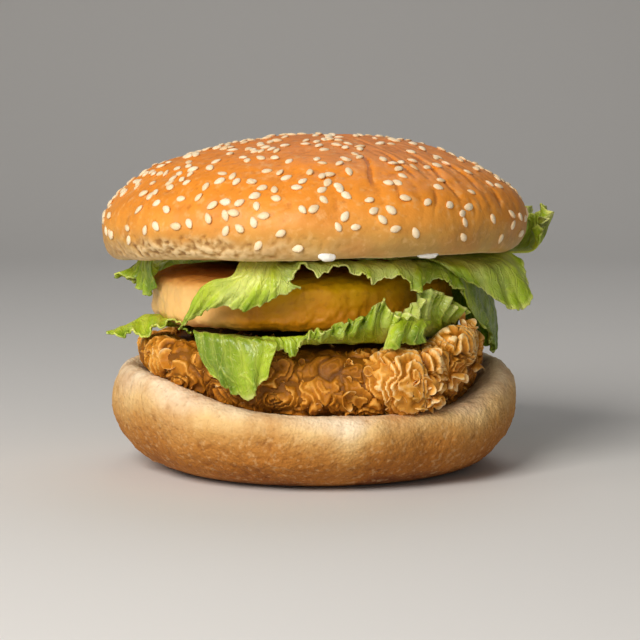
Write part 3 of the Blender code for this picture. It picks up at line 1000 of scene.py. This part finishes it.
def petal(seed):
    """A curled flake of crust, 1 mm in radius before it is scaled: thin, cupped and wavy."""
    chance = random.Random(seed)
    cup, waves, turn = chance.uniform(0.3, 0.75), chance.choice((2, 3, 4)), chance.uniform(0, 6.3)

    def shape(places):
        x, y, z = places.T
        out = np.hypot(x, y)
        angle = np.arctan2(y, x)
        edge = 1.0 + 0.12 * np.sin(waves * angle + turn) + 0.03 * np.sin(7.0 * angle + turn)
        lift = cup * out**2 + 0.26 * out**3 * np.sin(waves * angle + 1.3 * turn)
        lift = lift + 0.07 * out**2 * np.sin(6.0 * angle - turn)
        thin = 0.15 * z * (1.0 - 0.45 * out)
        return np.stack([x * edge * (1.0 - 0.12 * out**3), 0.8 * y * edge, lift + thin], axis=1)

    return shape


def make_flakes(name, fillet, finish, kinds, count, sizes, seed, sink, lean, clumps=()):
    """Flakes of one kind that stand out of the fillet's crust, all round it or in clumps."""
    chance = random.Random(seed)
    surface = tree_of(fillet)
    copies, ridges = [], []
    middle, outside = Vector((0.0, 0.0, 0.031)), 0.075
    while len(copies) < count:
        turn, lift = chance.uniform(-180.0, 180.0), chance.uniform(-0.27, 0.24)
        if clumps:
            centre, width, low, high = clumps[chance.randrange(len(clumps))]
            turn, lift = chance.gauss(centre, width), chance.uniform(low, high)
        way = Vector((math.cos(math.radians(turn)), math.sin(math.radians(turn)), lift))
        place, normal, _, _ = surface.ray_cast(middle + way * outside, -way)
        if place is None:
            continue
        clump = max(around(turn, -42.0, 20.0), 0.55 * around(turn, -142.0, 12.0))
        shape, faces = kinds[chance.randrange(len(kinds))]
        size = chance.uniform(*sizes) * (1.0 + 0.42 * clump)
        axes = turned_to(np.array(normal), chance.gauss(0.0, 0.75), chance.gauss(lean, 0.4))
        sunk = np.array(place) / MM + np.array(normal) * chance.uniform(-sink, 0.25) * size
        copies.append((shape * size @ axes.T + sunk, faces))
        height = shape[:, 2] - shape[:, 2].min()
        rim = np.maximum(np.hypot(shape[:, 0], shape[:, 1]), height / height.max())
        # Random tone, with painted light on the flakes of the clumps, which stand out into the light.
        tone = chance.uniform(0.30, 0.54) + 0.10 * clump
        ridges.append(tone + 0.42 * smooth_step(0.6, 1.08, rim))
    flakes = joined(name, copies, {"ridge": ridges})
    return take(flakes, finish, "fillet_crust")


def make_crust(fillet, finish):
    """The band of crust round the fillet, with petals and bits that stand out of it."""
    petals = [template(16, 8, petal(seed)) for seed in range(9)]
    wide_petals = [template(32, 14, petal(seed)) for seed in range(20, 27)]
    # Each clump: its azimuth and width, and the slopes from the fillet's middle it lies between
    clumps = ((RAISED_END, 6.0, -0.14, 0.10), (-60.0, 7.0, -0.2, 0.0), (-40.0, 7.0, -0.10, 0.24),
              (-146.0, 8.0, -0.10, 0.08))
    make_crust_band(fillet, finish)
    make_flakes("crust_petals", fillet, finish, petals, 130, (0.8, 1.5), 5, 0.6, 0.5)
    make_flakes("crust_bits", fillet, finish, petals[:4], 160, (0.3, 0.6), 7, 0.2, 0.7)
    make_flakes("crust_clumps", fillet, finish, wide_petals, 30, (1.8, 2.8), 8, 0.5, 0.45, clumps)


def make_fritter():
    """The fritter: smooth batter with soft lumps, and a notch in its upper left edge, painted the deep
    red-orange that the batter shows in shade.
    """
    fritter = even_copy("fritter", "battered_round", 0.6, 7)
    places = points(fritter)
    azimuth = polar(places)[1]
    notch = spot(azimuth, places[:, 2], -121.0, 6.0, 53.8, 2.2)
    facing = normals(fritter)
    set_points(fritter, places + facing * (1.1 * notch)[:, None])
    relief(fritter, "CLOUDS", 10.0, 1.6, level=0.6, noise_depth=1)
    relief(fritter, "CLOUDS", 3.0, 0.5, noise_depth=3)
    low, high = Stack.fritter_low[2], Stack.fritter_high[2]
    crumbed = smooth_step(high - 4.0, high - 9.0, places[:, 2]) * around(azimuth, -75.0, 45.0)
    mask(fritter, "crumbed", crumbed)
    relief(fritter, "VORONOI", 1.8, -0.35, level=0.3)
    relief(fritter, "CLOUDS", 1.1, 1.3, "crumbed", noise_depth=3)
    paint_ridges(fritter, "ridge", 10, 0.4)
    paint(fritter, "rise", (places[:, 2] - low) / (high - low))
    paint(fritter, "notch", notch * 1.2)
    # Painted light on the left side, which the key lights.
    paint(fritter, "lit_left_side", smooth_step(0.35, 0.75, around(azimuth, -165.0, 52.0)))
    return take(fritter, fritter_finish(), "fritter_batter", "fritter")


# ---------------------------------------------------------------- lettuce

def eased(stations, shares):
    """Values across a leaf, eased from one station to the next."""
    table = np.array(stations, float)
    index = np.clip(np.searchsorted(table[:, 0], shares, side="right") - 1, 0, len(table) - 2)
    low, high = table[index], table[index + 1]
    ease = smooth_step(0.0, 1.0, (shares - low[:, 0]) / (high[:, 0] - low[:, 0]))
    return low[:, 1:] + (high - low)[:, 1:] * ease[:, None]


def spline(knots, count):
    """A smooth line through points, at evenly spaced places along it."""
    knots = np.array(knots, float)
    reach = np.linalg.norm(np.diff(knots, axis=0), axis=1)
    knot_at = np.concatenate([[0.0], np.cumsum(np.maximum(reach, 1e-6))])
    slopes = np.gradient(knots, knot_at, axis=0, edge_order=1)
    places = np.linspace(0.0, knot_at[-1], count)
    index = np.clip(np.searchsorted(knot_at, places, side="right") - 1, 0, len(knots) - 2)
    gap = (knot_at[index + 1] - knot_at[index])[:, None]
    t = (places[:, None] - knot_at[index][:, None]) / gap
    return (
        knots[index] * (1 + 2 * t) * (1 - t) ** 2 + knots[index + 1] * t**2 * (3 - 2 * t)
        + slopes[index] * gap * t * (1 - t) ** 2 + slopes[index + 1] * gap * t**2 * (t - 1)
    )


def sheet_through(lines, columns, steps):
    """A sheet of points through lines that run across it, from its root to its free edge.

    Returns the sheet and how far past the second line, where the leaf comes into the open,
    each point is.
    """
    across = np.stack([spline(line, columns) for line in lines])
    sheet = np.stack([spline(across[:, column], steps) for column in range(columns)], axis=1)
    rise = np.linalg.norm(np.diff(across, axis=0), axis=2)
    opens = rise[0] / rise.sum(axis=0)
    out = np.linspace(0.0, 1.0, steps)[:, None]
    return sheet, np.clip((out - opens) / (1.0 - opens), 0.0, 1.0)


def sheet_by_stations(span, layer, edge, stations, columns, steps, lean=0.0, bend=90.0):
    """A sheet that runs out of the stack over an arc and curls down, as its CAD node does."""
    share = np.linspace(0.0, 1.0, columns)
    out = np.linspace(0.0, 1.0, steps)[:, None]
    reach, drop = eased(stations, share).T
    azimuth = np.radians(span[0] + (span[1] - span[0]) * share)
    free = np.clip((out - STACK_SHARE) / (1.0 - STACK_SHARE), 0.0, 1.0)
    start = LEAF_ROOT + (edge(azimuth) - LEAF_ROOT) * np.minimum(1.0, out / STACK_SHARE)
    curl = math.radians(bend)
    radius = start + reach * np.sin(curl * free) / math.sin(curl)
    fall = drop * (1.0 - np.cos(curl * free)) / (1.0 - math.cos(curl))
    turned = azimuth + np.radians(lean * free)
    level = layer(start * np.cos(azimuth), start * np.sin(azimuth))
    sheet = np.stack([radius * np.cos(turned), radius * np.sin(turned), level - fall], axis=-1)
    return sheet, free + 0.0 * share


def leaf_ribs(free, width, ribs, slant, chance):
    """Ribs that fan out from the root and thin away: 1 along the middle of each, 0 between."""
    rib = np.zeros_like(free)
    thick = (1.25 - 1.0 * free) / np.maximum(width[:, -1:], 4.0)
    share = width / np.maximum(width[:, -1:], 1.0)
    for index in range(ribs):
        middle = (index + 0.5 + chance.uniform(-0.3, 0.3)) / ribs
        middle = middle + (middle - 0.5) * 0.2 * free + slant * (free - 0.5)
        middle = middle + 0.012 * np.sin(7.0 * free + index)
        rib = np.maximum(rib, np.exp(-(((share - middle) / thick) ** 2)) * (1.0 - 0.9 * free))
    return rib


def sheet_frame(sheet):
    """A sheet's distances across and along it, its normals and its outward directions."""
    steps, columns = sheet.shape[:2]
    across = np.linalg.norm(np.diff(sheet, axis=1), axis=2)
    width = np.concatenate([np.zeros((steps, 1)), np.cumsum(across, axis=1)], axis=1)
    along = np.linalg.norm(np.diff(sheet, axis=0), axis=2)
    length = np.concatenate([np.zeros((1, columns)), np.cumsum(along, axis=0)], axis=0)
    outward = np.gradient(sheet, axis=0)
    facing = np.cross(np.gradient(sheet, axis=1), outward)
    facing /= np.linalg.norm(facing, axis=-1, keepdims=True) + 1e-9
    outward /= np.linalg.norm(outward, axis=-1, keepdims=True) + 1e-9
    return width, length, facing, outward


def leaf_waves(line, free, wave, ruffle, frill, tooth, turns):
    """How far a leaf's waves lift it and its teeth stand out, along a line across it."""
    def swing(size, turn):
        return np.sin(2.0 * math.pi * line / size + turn + 0.8 * np.sin(line * 0.31 + turn))[None, :]

    height = ruffle * swing(wave, turns[0]) * free**1.3
    height = height + frill * swing(0.43 * wave, turns[1]) * free**2.6
    height = height + 0.30 * frill * swing(0.17 * wave, turns[2]) * free**5
    coarse = 1.0 - np.abs(np.sin(math.pi * line / 3.6 + turns[3] + 0.7 * np.sin(line * 0.5)))
    fine = 1.0 - np.abs(np.sin(math.pi * line / 1.45 + turns[4] + np.sin(line * 0.9)))
    return height, tooth * (0.9 * coarse**1.4 + 0.35 * fine - 0.5)[None, :] * free**4


def leaf_mesh(name, sheet, free, ruffle=1.0, wave=11.0, frill=0.6, tooth=0.9, seed=0, ribs=5,
              slant=0.0, tone=0.0, root=0.0):
    """A leaf from its sheet of points: waves, toothed edge and ribs, then flesh on both sides."""
    chance = random.Random(seed)
    steps, columns = free.shape
    width, length, facing, outward = sheet_frame(sheet)
    line = width[-1] + 0.6 * np.sin(width[-1] * 0.7 + seed)
    turns = [chance.uniform(0.0, 6.28) for _ in range(6)]
    height, teeth = leaf_waves(line, free, wave, ruffle, frill, tooth, turns)
    rib = leaf_ribs(free, width, ribs, slant, chance)
    height = height + 0.35 * rib
    sheet = sheet + facing * height[..., None] + outward * teeth[..., None]
    bpy.ops.object.select_all(action="DESELECT")
    bpy.ops.mesh.primitive_grid_add(x_subdivisions=columns - 1, y_subdivisions=steps - 1, size=2.0)
    leaf = named(name)
    set_points(leaf, sheet.reshape(-1, 3))
    mapped = np.stack([width - width[:, -1:] / 2.0, length, 0.0 * length], axis=-1)
    leaf.data.attributes.new("leaf", "FLOAT_VECTOR", "POINT").data.foreach_set(
        "vector", mapped.astype(np.float32).ravel()
    )
    patches = uneven(np.stack([width, 0.4 * length, 0.0 * width], axis=-1).reshape(-1, 3), 5.0, seed)
    # The shade value is painted light and shade: tone raises or lowers a whole leaf, root does so
    # towards the root, and wave crests are painted lighter and hollows darker; the patches are the
    # leaf's own uneven colour.
    shade = tone + root * (1.0 - free) ** 1.2 + 0.30 * height / (ruffle + frill)
    paint(leaf, "shade", 0.5 + 0.22 * patches + shade.ravel())
    paint(leaf, "free", free.ravel())
    paint(leaf, "rib", rib.ravel())
    mask(leaf, "blade", (smooth_step(0.0, 0.25, free) * (1.0 - 0.7 * rib)).ravel())
    relief(leaf, "CLOUDS", 4.5, 1.0, "blade", noise_depth=1)
    relief(leaf, "CLOUDS", 1.8, 0.38, "blade", noise_depth=2)
    apply(leaf, "SOLIDIFY", thickness=LEAF_THICKNESS * MM, offset=0.0)
    only(leaf)
    bpy.ops.object.mode_set(mode="EDIT")
    bpy.ops.mesh.select_all(action="SELECT")
    bpy.ops.mesh.normals_make_consistent(inside=False)
    bpy.ops.object.mode_set(mode="OBJECT")
    return leaf


def add_leaf(node, name, finish, columns, steps, lines, joined_on=None, **looks):
    """A leaf through the lines across it, in mm, from the root line to the free edge."""
    leaf = leaf_mesh(name, *sheet_through(lines, columns, steps), **looks)
    if joined_on:
        only(leaf)
        joined_on.select_set(True)
        bpy.ops.object.join()
    take(leaf, finish, "lettuce", node)


def make_front_leaves(finish):
    """The leaves of the front, from the middle outwards in each layer, the upper layer first."""
    # tone and root paint light on the upper leaves, which lie in the crown's shade.
    add_leaf("lettuce_front", "front_leaf", finish, 230, 60, [
        [(-9.0, -30.0, 56.8), (8.0, -32.0, 57.0), (22.0, -27.0, 56.6), (31.0, -14.0, 56.0)],
        [(-10.0, -43.0, 57.4), (2.5, -44.0, 57.6), (11.0, -42.0, 57.5), (20.0, -37.5, 57.2),
         (29.0, -30.0, 56.6), (36.5, -19.0, 55.4)],
        [(-8.6, -46.7, 56.0), (-3.5, -47.4, 57.5), (6.0, -46.4, 57.3), (14.0, -44.0, 56.4),
         (20.5, -41.0, 56.2), (26.0, -37.5, 54.4), (32.0, -31.5, 54.4), (38.0, -22.0, 51.6)],
        [(-6.8, -48.0, 52.6), (-5.2, -48.8, 55.6), (-3.0, -48.8, 57.0), (-1.0, -48.4, 56.8),
         (1.0, -48.3, 54.8), (3.4, -48.0, 56.4), (7.5, -47.2, 56.7), (11.4, -46.4, 55.0),
         (14.8, -45.0, 52.7), (18.3, -43.3, 53.9), (22.4, -41.2, 53.5), (25.7, -38.7, 49.8),
         (29.0, -36.0, 52.4), (33.5, -31.5, 51.6), (39.5, -22.0, 47.4)],
    ], ruffle=0.9, wave=9.0, frill=0.5, seed=2, ribs=6, slant=0.12, tone=0.22, root=0.3)
    add_leaf("lettuce_front_fold", "front_fold", finish, 120, 74, [
        [(-17.0, -28.0, 56.6), (-8.0, -30.0, 56.8)],
        [(-19.0, -41.3, 57.2), (-15.5, -42.6, 57.6), (-12.0, -43.2, 57.6), (-8.5, -43.8, 57.4)],
        [(-20.5, -43.6, 54.4), (-16.4, -45.6, 54.8), (-12.0, -46.2, 54.6), (-7.4, -46.8, 55.4)],
        [(-25.5, -42.1, 53.2), (-21.0, -44.6, 51.8), (-16.0, -46.4, 51.2), (-11.0, -47.2, 51.4),
         (-5.6, -47.8, 52.6)],
        [(-34.5, -34.6, 39.8), (-30.5, -37.9, 43.4), (-27.0, -40.4, 45.6), (-21.7, -43.0, 46.4),
         (-17.2, -44.8, 45.8), (-13.0, -46.0, 47.4), (-8.6, -47.0, 49.8), (-3.0, -47.6, 51.8)],
    ], ruffle=0.5, wave=10.0, frill=0.4, seed=5, ribs=5, slant=-0.25, tone=0.15, root=0.1)
    add_leaf("lettuce_right_blade", "right_blade", finish, 150, 84, [
        [(18.0, -24.0, 57.2), (25.0, -15.0, 57.0), (27.0, -4.0, 56.8)],
        [(30.0, -31.0, 57.3), (34.5, -26.5, 57.2), (38.5, -20.0, 57.2), (41.5, -13.0, 57.4),
         (43.5, -6.0, 57.4)],
        [(32.4, -33.0, 56.4), (37.5, -30.0, 55.4), (43.0, -26.0, 55.0), (48.0, -20.0, 56.0),
         (51.5, -11.0, 57.0)],
        [(34.4, -31.5, 54.6), (38.6, -29.0, 51.8), (43.2, -26.5, 49.4), (47.8, -24.0, 45.6),
         (52.6, -20.6, 43.6), (55.8, -18.6, 44.4), (55.8, -16.2, 49.0), (54.6, -13.0, 55.2)],
    ], ruffle=0.5, wave=12.0, frill=0.35, tooth=0.8, seed=8, ribs=7, tone=0.22, root=0.3)
    curl = leaf_mesh("ruffle_curl", *sheet_through([
        [(21.0, -37.0, 42.6), (24.0, -36.0, 42.8), (27.5, -33.6, 42.4)],
        [(19.6, -41.8, 44.4), (22.6, -41.0, 43.4), (26.0, -38.4, 43.4), (29.4, -35.0, 42.0)],
        [(18.4, -44.2, 40.2), (20.8, -44.4, 38.9), (24.0, -42.6, 38.6), (27.4, -40.0, 40.0)],
        [(17.2, -44.6, 35.6), (20.4, -43.6, 36.6), (24.6, -41.4, 36.9), (27.6, -38.8, 38.2)],
    ], 60, 50), ruffle=1.3, wave=6.0, frill=0.3, tooth=0.5, seed=3, ribs=3)
    add_leaf("lettuce_right_ruffle", "right_ruffle", finish, 230, 60, [
        [(-2.0, -30.0, 37.3), (12.0, -30.0, 37.3), (24.0, -21.0, 37.3), (28.0, -10.0, 37.3)],
        [(-2.0, -42.6, 37.6), (10.0, -40.6, 37.6), (17.5, -37.6, 37.6), (24.5, -33.0, 37.6),
         (31.0, -25.6, 37.8), (36.8, -15.0, 38.0)],
        [(-1.8, -46.4, 39.0), (4.0, -46.2, 39.6), (9.4, -45.4, 40.6), (14.8, -43.6, 42.6),
         (19.4, -41.8, 41.8), (23.5, -39.2, 42.0), (27.6, -36.2, 44.4), (32.0, -31.4, 44.0),
         (37.5, -23.0, 42.2)],
        [(-1.8, -47.0, 40.2), (4.0, -46.4, 41.8), (8.8, -45.4, 43.4), (12.3, -44.2, 44.4),
         (15.2, -43.6, 47.0), (17.3, -43.6, 48.2), (19.4, -42.4, 44.8), (22.9, -39.9, 45.2),
         (25.4, -38.0, 46.8), (26.6, -36.8, 49.4), (30.0, -34.0, 49.9), (33.6, -30.2, 48.0),
         (34.4, -29.1, 45.7), (36.6, -26.0, 45.8), (39.4, -21.6, 43.6)],
    ], joined_on=curl, ruffle=1.6, wave=5.2, frill=1.0, seed=11, ribs=7, tone=0.14)
    add_leaf("lettuce_middle", "middle_leaf", finish, 120, 46, [
        [(-11.0, -30.0, 37.3), (2.0, -31.0, 37.3)],
        [(-13.4, -42.4, 38.2), (-8.7, -43.2, 38.0), (-2.0, -43.6, 38.0), (4.0, -43.0, 38.2)],
        [(-12.9, -45.6, 38.9), (-8.8, -46.4, 38.9), (-4.0, -46.6, 39.4), (0.6, -46.4, 40.0),
         (7.0, -45.2, 40.9)],
        [(-12.4, -46.4, 36.4), (-11.0, -46.8, 35.4), (-8.9, -47.0, 36.2), (-6.9, -47.4, 35.4),
         (-5.2, -47.4, 34.5), (-3.9, -47.4, 37.7), (-1.7, -47.2, 38.6), (0.8, -47.0, 39.0),
         (3.8, -46.6, 40.0), (7.2, -46.0, 41.0)],
    ], ruffle=0.9, wave=5.0, frill=0.5, seed=21, ribs=4)
    add_leaf("lettuce_hanging", "hanging_leaf", finish, 150, 84, [
        [(-22.0, -26.0, 37.3), (-10.0, -31.0, 37.3)],
        [(-30.4, -38.4, 39.6), (-25.7, -41.6, 39.6), (-20.6, -44.2, 39.4), (-15.6, -46.0, 39.0),
         (-11.4, -46.8, 38.8)],
        [(-30.4, -43.0, 40.4), (-25.6, -45.6, 40.0), (-20.6, -48.0, 39.4), (-15.5, -49.6, 39.0),
         (-9.3, -51.0, 38.2)],
        [(-28.2, -45.0, 33.2), (-24.4, -47.4, 32.6), (-20.1, -49.6, 32.0), (-15.5, -51.0, 32.4),
         (-10.8, -51.8, 33.6)],
        [(-26.0, -45.6, 29.6), (-22.7, -47.4, 27.5), (-19.6, -49.0, 25.0), (-15.3, -50.4, 24.2),
         (-14.6, -50.6, 27.2), (-11.6, -51.4, 29.5)],
    ], ruffle=0.6, wave=9.0, frill=0.35, tooth=0.7, seed=14, ribs=6, tone=0.0, root=-0.6)
    add_leaf("lettuce_left_strip", "left_strip", finish, 130, 50, [
        [(-26.0, -6.0, 37.2), (-34.0, -4.0, 37.2), (-44.0, -6.0, 38.0), (-53.6, -13.6, 37.2)],
        [(-30.5, -10.0, 37.4), (-37.0, -10.0, 39.4), (-41.0, -10.0, 41.0), (-44.4, -10.0, 40.8),
         (-48.0, -12.0, 39.4), (-51.4, -13.4, 37.8), (-54.6, -15.0, 37.2)],
        [(-32.0, -24.0, 37.6), (-36.4, -25.0, 41.0), (-39.8, -24.0, 40.2), (-42.5, -22.0, 38.5),
         (-44.7, -22.0, 36.4), (-47.5, -20.0, 37.8), (-50.2, -18.6, 36.9), (-54.2, -16.4, 36.9)],
    ], ruffle=0.5, wave=7.0, frill=0.4, tooth=0.6, seed=17, ribs=4)


def make_side_leaves(finish):
    """The leaf at the left, and the one that hangs at the right behind the fillet's raised end."""
    # tone paints shade on these two side leaves, which hang in shade.
    add_leaf("lettuce_left", "left_leaf", finish, 120, 60, [
        [(-26.0, -14.0, 56.8), (-30.0, 0.0, 56.8), (-28.0, 12.0, 56.4)],
        [(-42.0, -17.0, 57.2), (-45.0, -7.0, 57.0), (-45.6, 2.0, 56.6), (-42.0, 17.0, 56.0)],
        [(-42.8, -17.5, 53.5), (-45.8, -7.0, 53.0), (-48.5, 2.0, 52.6), (-46.5, 17.0, 52.0)],
        [(-41.6, -18.5, 49.4), (-43.8, -14.0, 46.8), (-46.0, -9.0, 47.4), (-47.4, -4.5, 49.8),
         (-49.8, -2.0, 50.4), (-53.4, 0.5, 50.6), (-51.5, 7.0, 49.6), (-49.0, 18.0, 47.0)],
    ], ruffle=0.6, wave=8.0, frill=0.4, seed=33, ribs=5, tone=-0.22)
    add_leaf("lettuce_right_hanging", "painted_shade_leaf", finish, 130, 90, [
        [(26.0, -8.0, 54.4), (28.0, 2.0, 54.4), (26.0, 12.0, 54.4)],
        [(36.0, -25.0, 54.6), (39.6, -8.0, 54.4), (38.8, 4.0, 54.4), (35.5, 16.0, 54.4)],
        [(37.6, -24.4, 51.5), (43.0, -8.0, 52.4), (43.5, 5.0, 52.4), (40.0, 15.0, 52.0),
         (35.6, 20.0, 51.4)],
        [(39.0, -23.0, 46.5), (45.2, -7.0, 46.0), (46.8, 6.0, 46.0), (42.5, 17.0, 46.0),
         (36.4, 23.0, 46.0)],
        [(41.4, -18.0, 42.4), (47.0, -3.0, 40.0), (48.2, 8.0, 39.5), (44.0, 19.0, 40.0),
         (37.4, 25.0, 41.0)],
        [(44.8, -10.0, 38.4), (47.4, 0.0, 33.0), (48.4, 7.0, 29.5), (47.0, 15.0, 30.5),
         (44.5, 22.0, 34.0)],
    ], ruffle=0.6, wave=9.0, frill=0.4, seed=31, ribs=5, tone=-0.25)


def make_round_leaves(finish):
    """The leaves at the sides and the back: (share of the width, reach, drop) at each station."""
    rows = (
        ("lettuce_right_sprig", (6.0, 26.0), against_crown, past_crown,
         [(0.0, 3.5, -5.0), (0.3, 6.0, -12.0), (0.55, 5.0, -9.0), (0.8, 5.0, -12.0),
          (1.0, 2.5, -5.0)], {}, {"ruffle": 1.4, "wave": 4.6, "frill": 1.5, "tooth": 2.4, "tone": 0.15}),
        ("lettuce_back_right", (32.0, 90.0), upper_layer, past_fritter,
         [(0.0, 12.0, 5.0), (0.3, 15.0, 11.0), (0.6, 13.0, 7.0), (1.0, 14.0, 9.0)],
         {"bend": 70.0}, {"ruffle": 1.4, "wave": 13.0}),
        ("lettuce_back_left", (93.0, 154.0), upper_layer, past_fritter,
         [(0.0, 12.0, 8.0), (0.4, 14.0, 12.0), (0.7, 11.0, 6.0), (1.0, 11.0, 8.0)],
         {"bend": 75.0}, {"ruffle": 1.4, "wave": 12.0}),
        ("lettuce_back_low_right", (36.0, 86.0), lower_layer, past_fillet,
         [(0.0, 3.0, 3.0), (0.3, 4.0, 6.0), (0.7, 5.0, 3.0), (1.0, 3.0, 5.0)],
         {}, {"ruffle": 1.0, "wave": 10.0}),
        ("lettuce_back_low_left", (88.0, 150.0), lower_layer, past_fillet,
         [(0.0, 3.0, 4.0), (0.4, 5.0, 7.5), (0.7, 4.0, 4.0), (1.0, 4.0, 3.0)],
         {}, {"ruffle": 1.0, "wave": 11.0}),
    )
    for index, (node, span, layer, edge, stations, shape, looks) in enumerate(rows):
        columns = int(abs(span[1] - span[0]) * 3.2)
        sheet, free = sheet_by_stations(span, layer, edge, stations, columns, 64, **shape)
        leaf = leaf_mesh("leaf_" + node, sheet, free, seed=40 + index, **looks)
        take(leaf, finish, "lettuce", node)


# ---------------------------------------------------------------- sauce

def make_sauce(crown, finish):
    """Mayonnaise squeezed out in small dabs under the crown's front edge."""
    surface = tree_of(crown)
    rows = ((3.0, 1.0, 2.2, 1.2, 1.1), (28.0, 0.6, 3.2, 0.85, 0.9))
    for index, (x, above, wide, tall, deep) in enumerate(rows):
        edge = -math.sqrt((Stack.crown_radius - 4.0) ** 2 - x**2)
        start = Vector((x, -80.0, crown_underside(x, edge) + above)) * MM
        place, normal, _, _ = surface.ray_cast(start, Vector((0.0, 1.0, 0.0)))
        bpy.ops.object.select_all(action="DESELECT")
        bpy.ops.mesh.primitive_ico_sphere_add(
            subdivisions=5, radius=MM, location=place, scale=(wide, deep, tall),
            rotation=(0.0, 0.0, math.atan2(normal.y, normal.x) + math.pi / 2.0),
        )
        dab = named("mayonnaise_%d" % (index + 1))
        relief(dab, "CLOUDS", 2.2, 0.7, noise_depth=1)
        take(dab, finish, "mayonnaise")


def make_stage(size=2.4, tall=1.4, sweep=0.5):
    """A pale floor that sweeps up into a backdrop."""
    bpy.ops.object.select_all(action="DESELECT")
    bpy.ops.mesh.primitive_plane_add(size=size, location=(0.0, 0.0, 0.0))
    floor = named("floor")
    only(floor)
    bpy.ops.object.mode_set(mode="EDIT")
    bpy.ops.mesh.select_all(action="DESELECT")
    bpy.ops.object.mode_set(mode="OBJECT")
    for edge in floor.data.edges:
        edge.select = all(floor.data.vertices[i].co.y > 1.0 for i in edge.vertices)
    for vertex in floor.data.vertices:
        vertex.select = vertex.co.y > 1.0
    bpy.ops.object.mode_set(mode="EDIT")
    bpy.ops.mesh.extrude_region_move(TRANSFORM_OT_translate={"value": (0.0, 0.0, tall)})
    bpy.ops.object.mode_set(mode="OBJECT")
    apply(floor, "BEVEL", width=sweep, segments=12, limit_method="ANGLE")
    finish = Finish("studio paper", Roughness=0.75)
    finish.shader.inputs["Base Color"].default_value = rgba(0.74, 0.73, 0.715)
    floor.data.materials.append(finish.material)
    floor.data.shade_smooth()


def add_light(name, azimuth, elevation, distance, size, power, colour=(1.0, 0.955, 0.90)):
    """A square soft light aimed at the burger's middle, warm white unless told otherwise."""
    target = Vector((0.0, 0.0, 45.0)) * MM
    turn, lift = math.radians(azimuth), math.radians(elevation)
    way = Vector((math.cos(turn) * math.cos(lift), math.sin(turn) * math.cos(lift), math.sin(lift)))
    data = bpy.data.lights.new(name, "AREA")
    data.size = size
    data.energy = power
    data.color = colour
    light = bpy.data.objects.new(name, data)
    light.location = target + way * distance
    light.rotation_euler = way.to_track_quat("Z", "Y").to_euler()
    bpy.context.scene.collection.objects.link(light)


def make_lights():
    """A soft key from the upper left, low ones that reach under the crown, and a dim room."""
    add_light("key", -118.0, 33.0, 0.9, 0.46, 7.6)
    add_light("side", -158.0, 14.0, 0.9, 0.40, 1.3)
    add_light("front", -84.0, 8.0, 1.0, 0.5, 1.1)
    add_light("fill", -50.0, 20.0, 1.1, 0.9, 0.2, (1.0, 0.96, 0.91))
    add_light("back", 75.0, 55.0, 1.0, 0.6, 1.4, (1.0, 1.0, 1.0))
    world = bpy.data.worlds.new("studio")
    world.use_nodes = True
    background = world.node_tree.nodes["Background"]
    background.inputs["Color"].default_value = rgba(0.95, 0.93, 0.90)
    background.inputs["Strength"].default_value = 0.07
    bpy.context.scene.world = world


def make_camera(place=(0.0013, -0.650, 0.1064), down=5.94, lens=137.25):
    """Straight in front of the burger, a little above it and looking a few degrees down."""
    data = bpy.data.cameras.new("camera")
    data.sensor_width = 36.0
    data.lens = lens
    camera = bpy.data.objects.new("camera", data)
    camera.location = place
    camera.rotation_euler = (math.radians(90.0 - down), 0.0, 0.0)
    bpy.context.scene.collection.objects.link(camera)
    bpy.context.scene.camera = camera


def main():
    make_camera()
    make_lights()
    make_stage()
    crown = make_crown()
    make_seeds(crown)
    make_heel()
    crumb = fillet_finish()
    make_crust(make_fillet(crumb), crumb)
    make_fritter()
    lettuce = lettuce_finish()
    make_front_leaves(lettuce)
    make_side_leaves(lettuce)
    make_round_leaves(lettuce)
    make_sauce(crown, sauce_finish())
    bpy.context.scene.view_settings.view_transform = "Standard"


main()
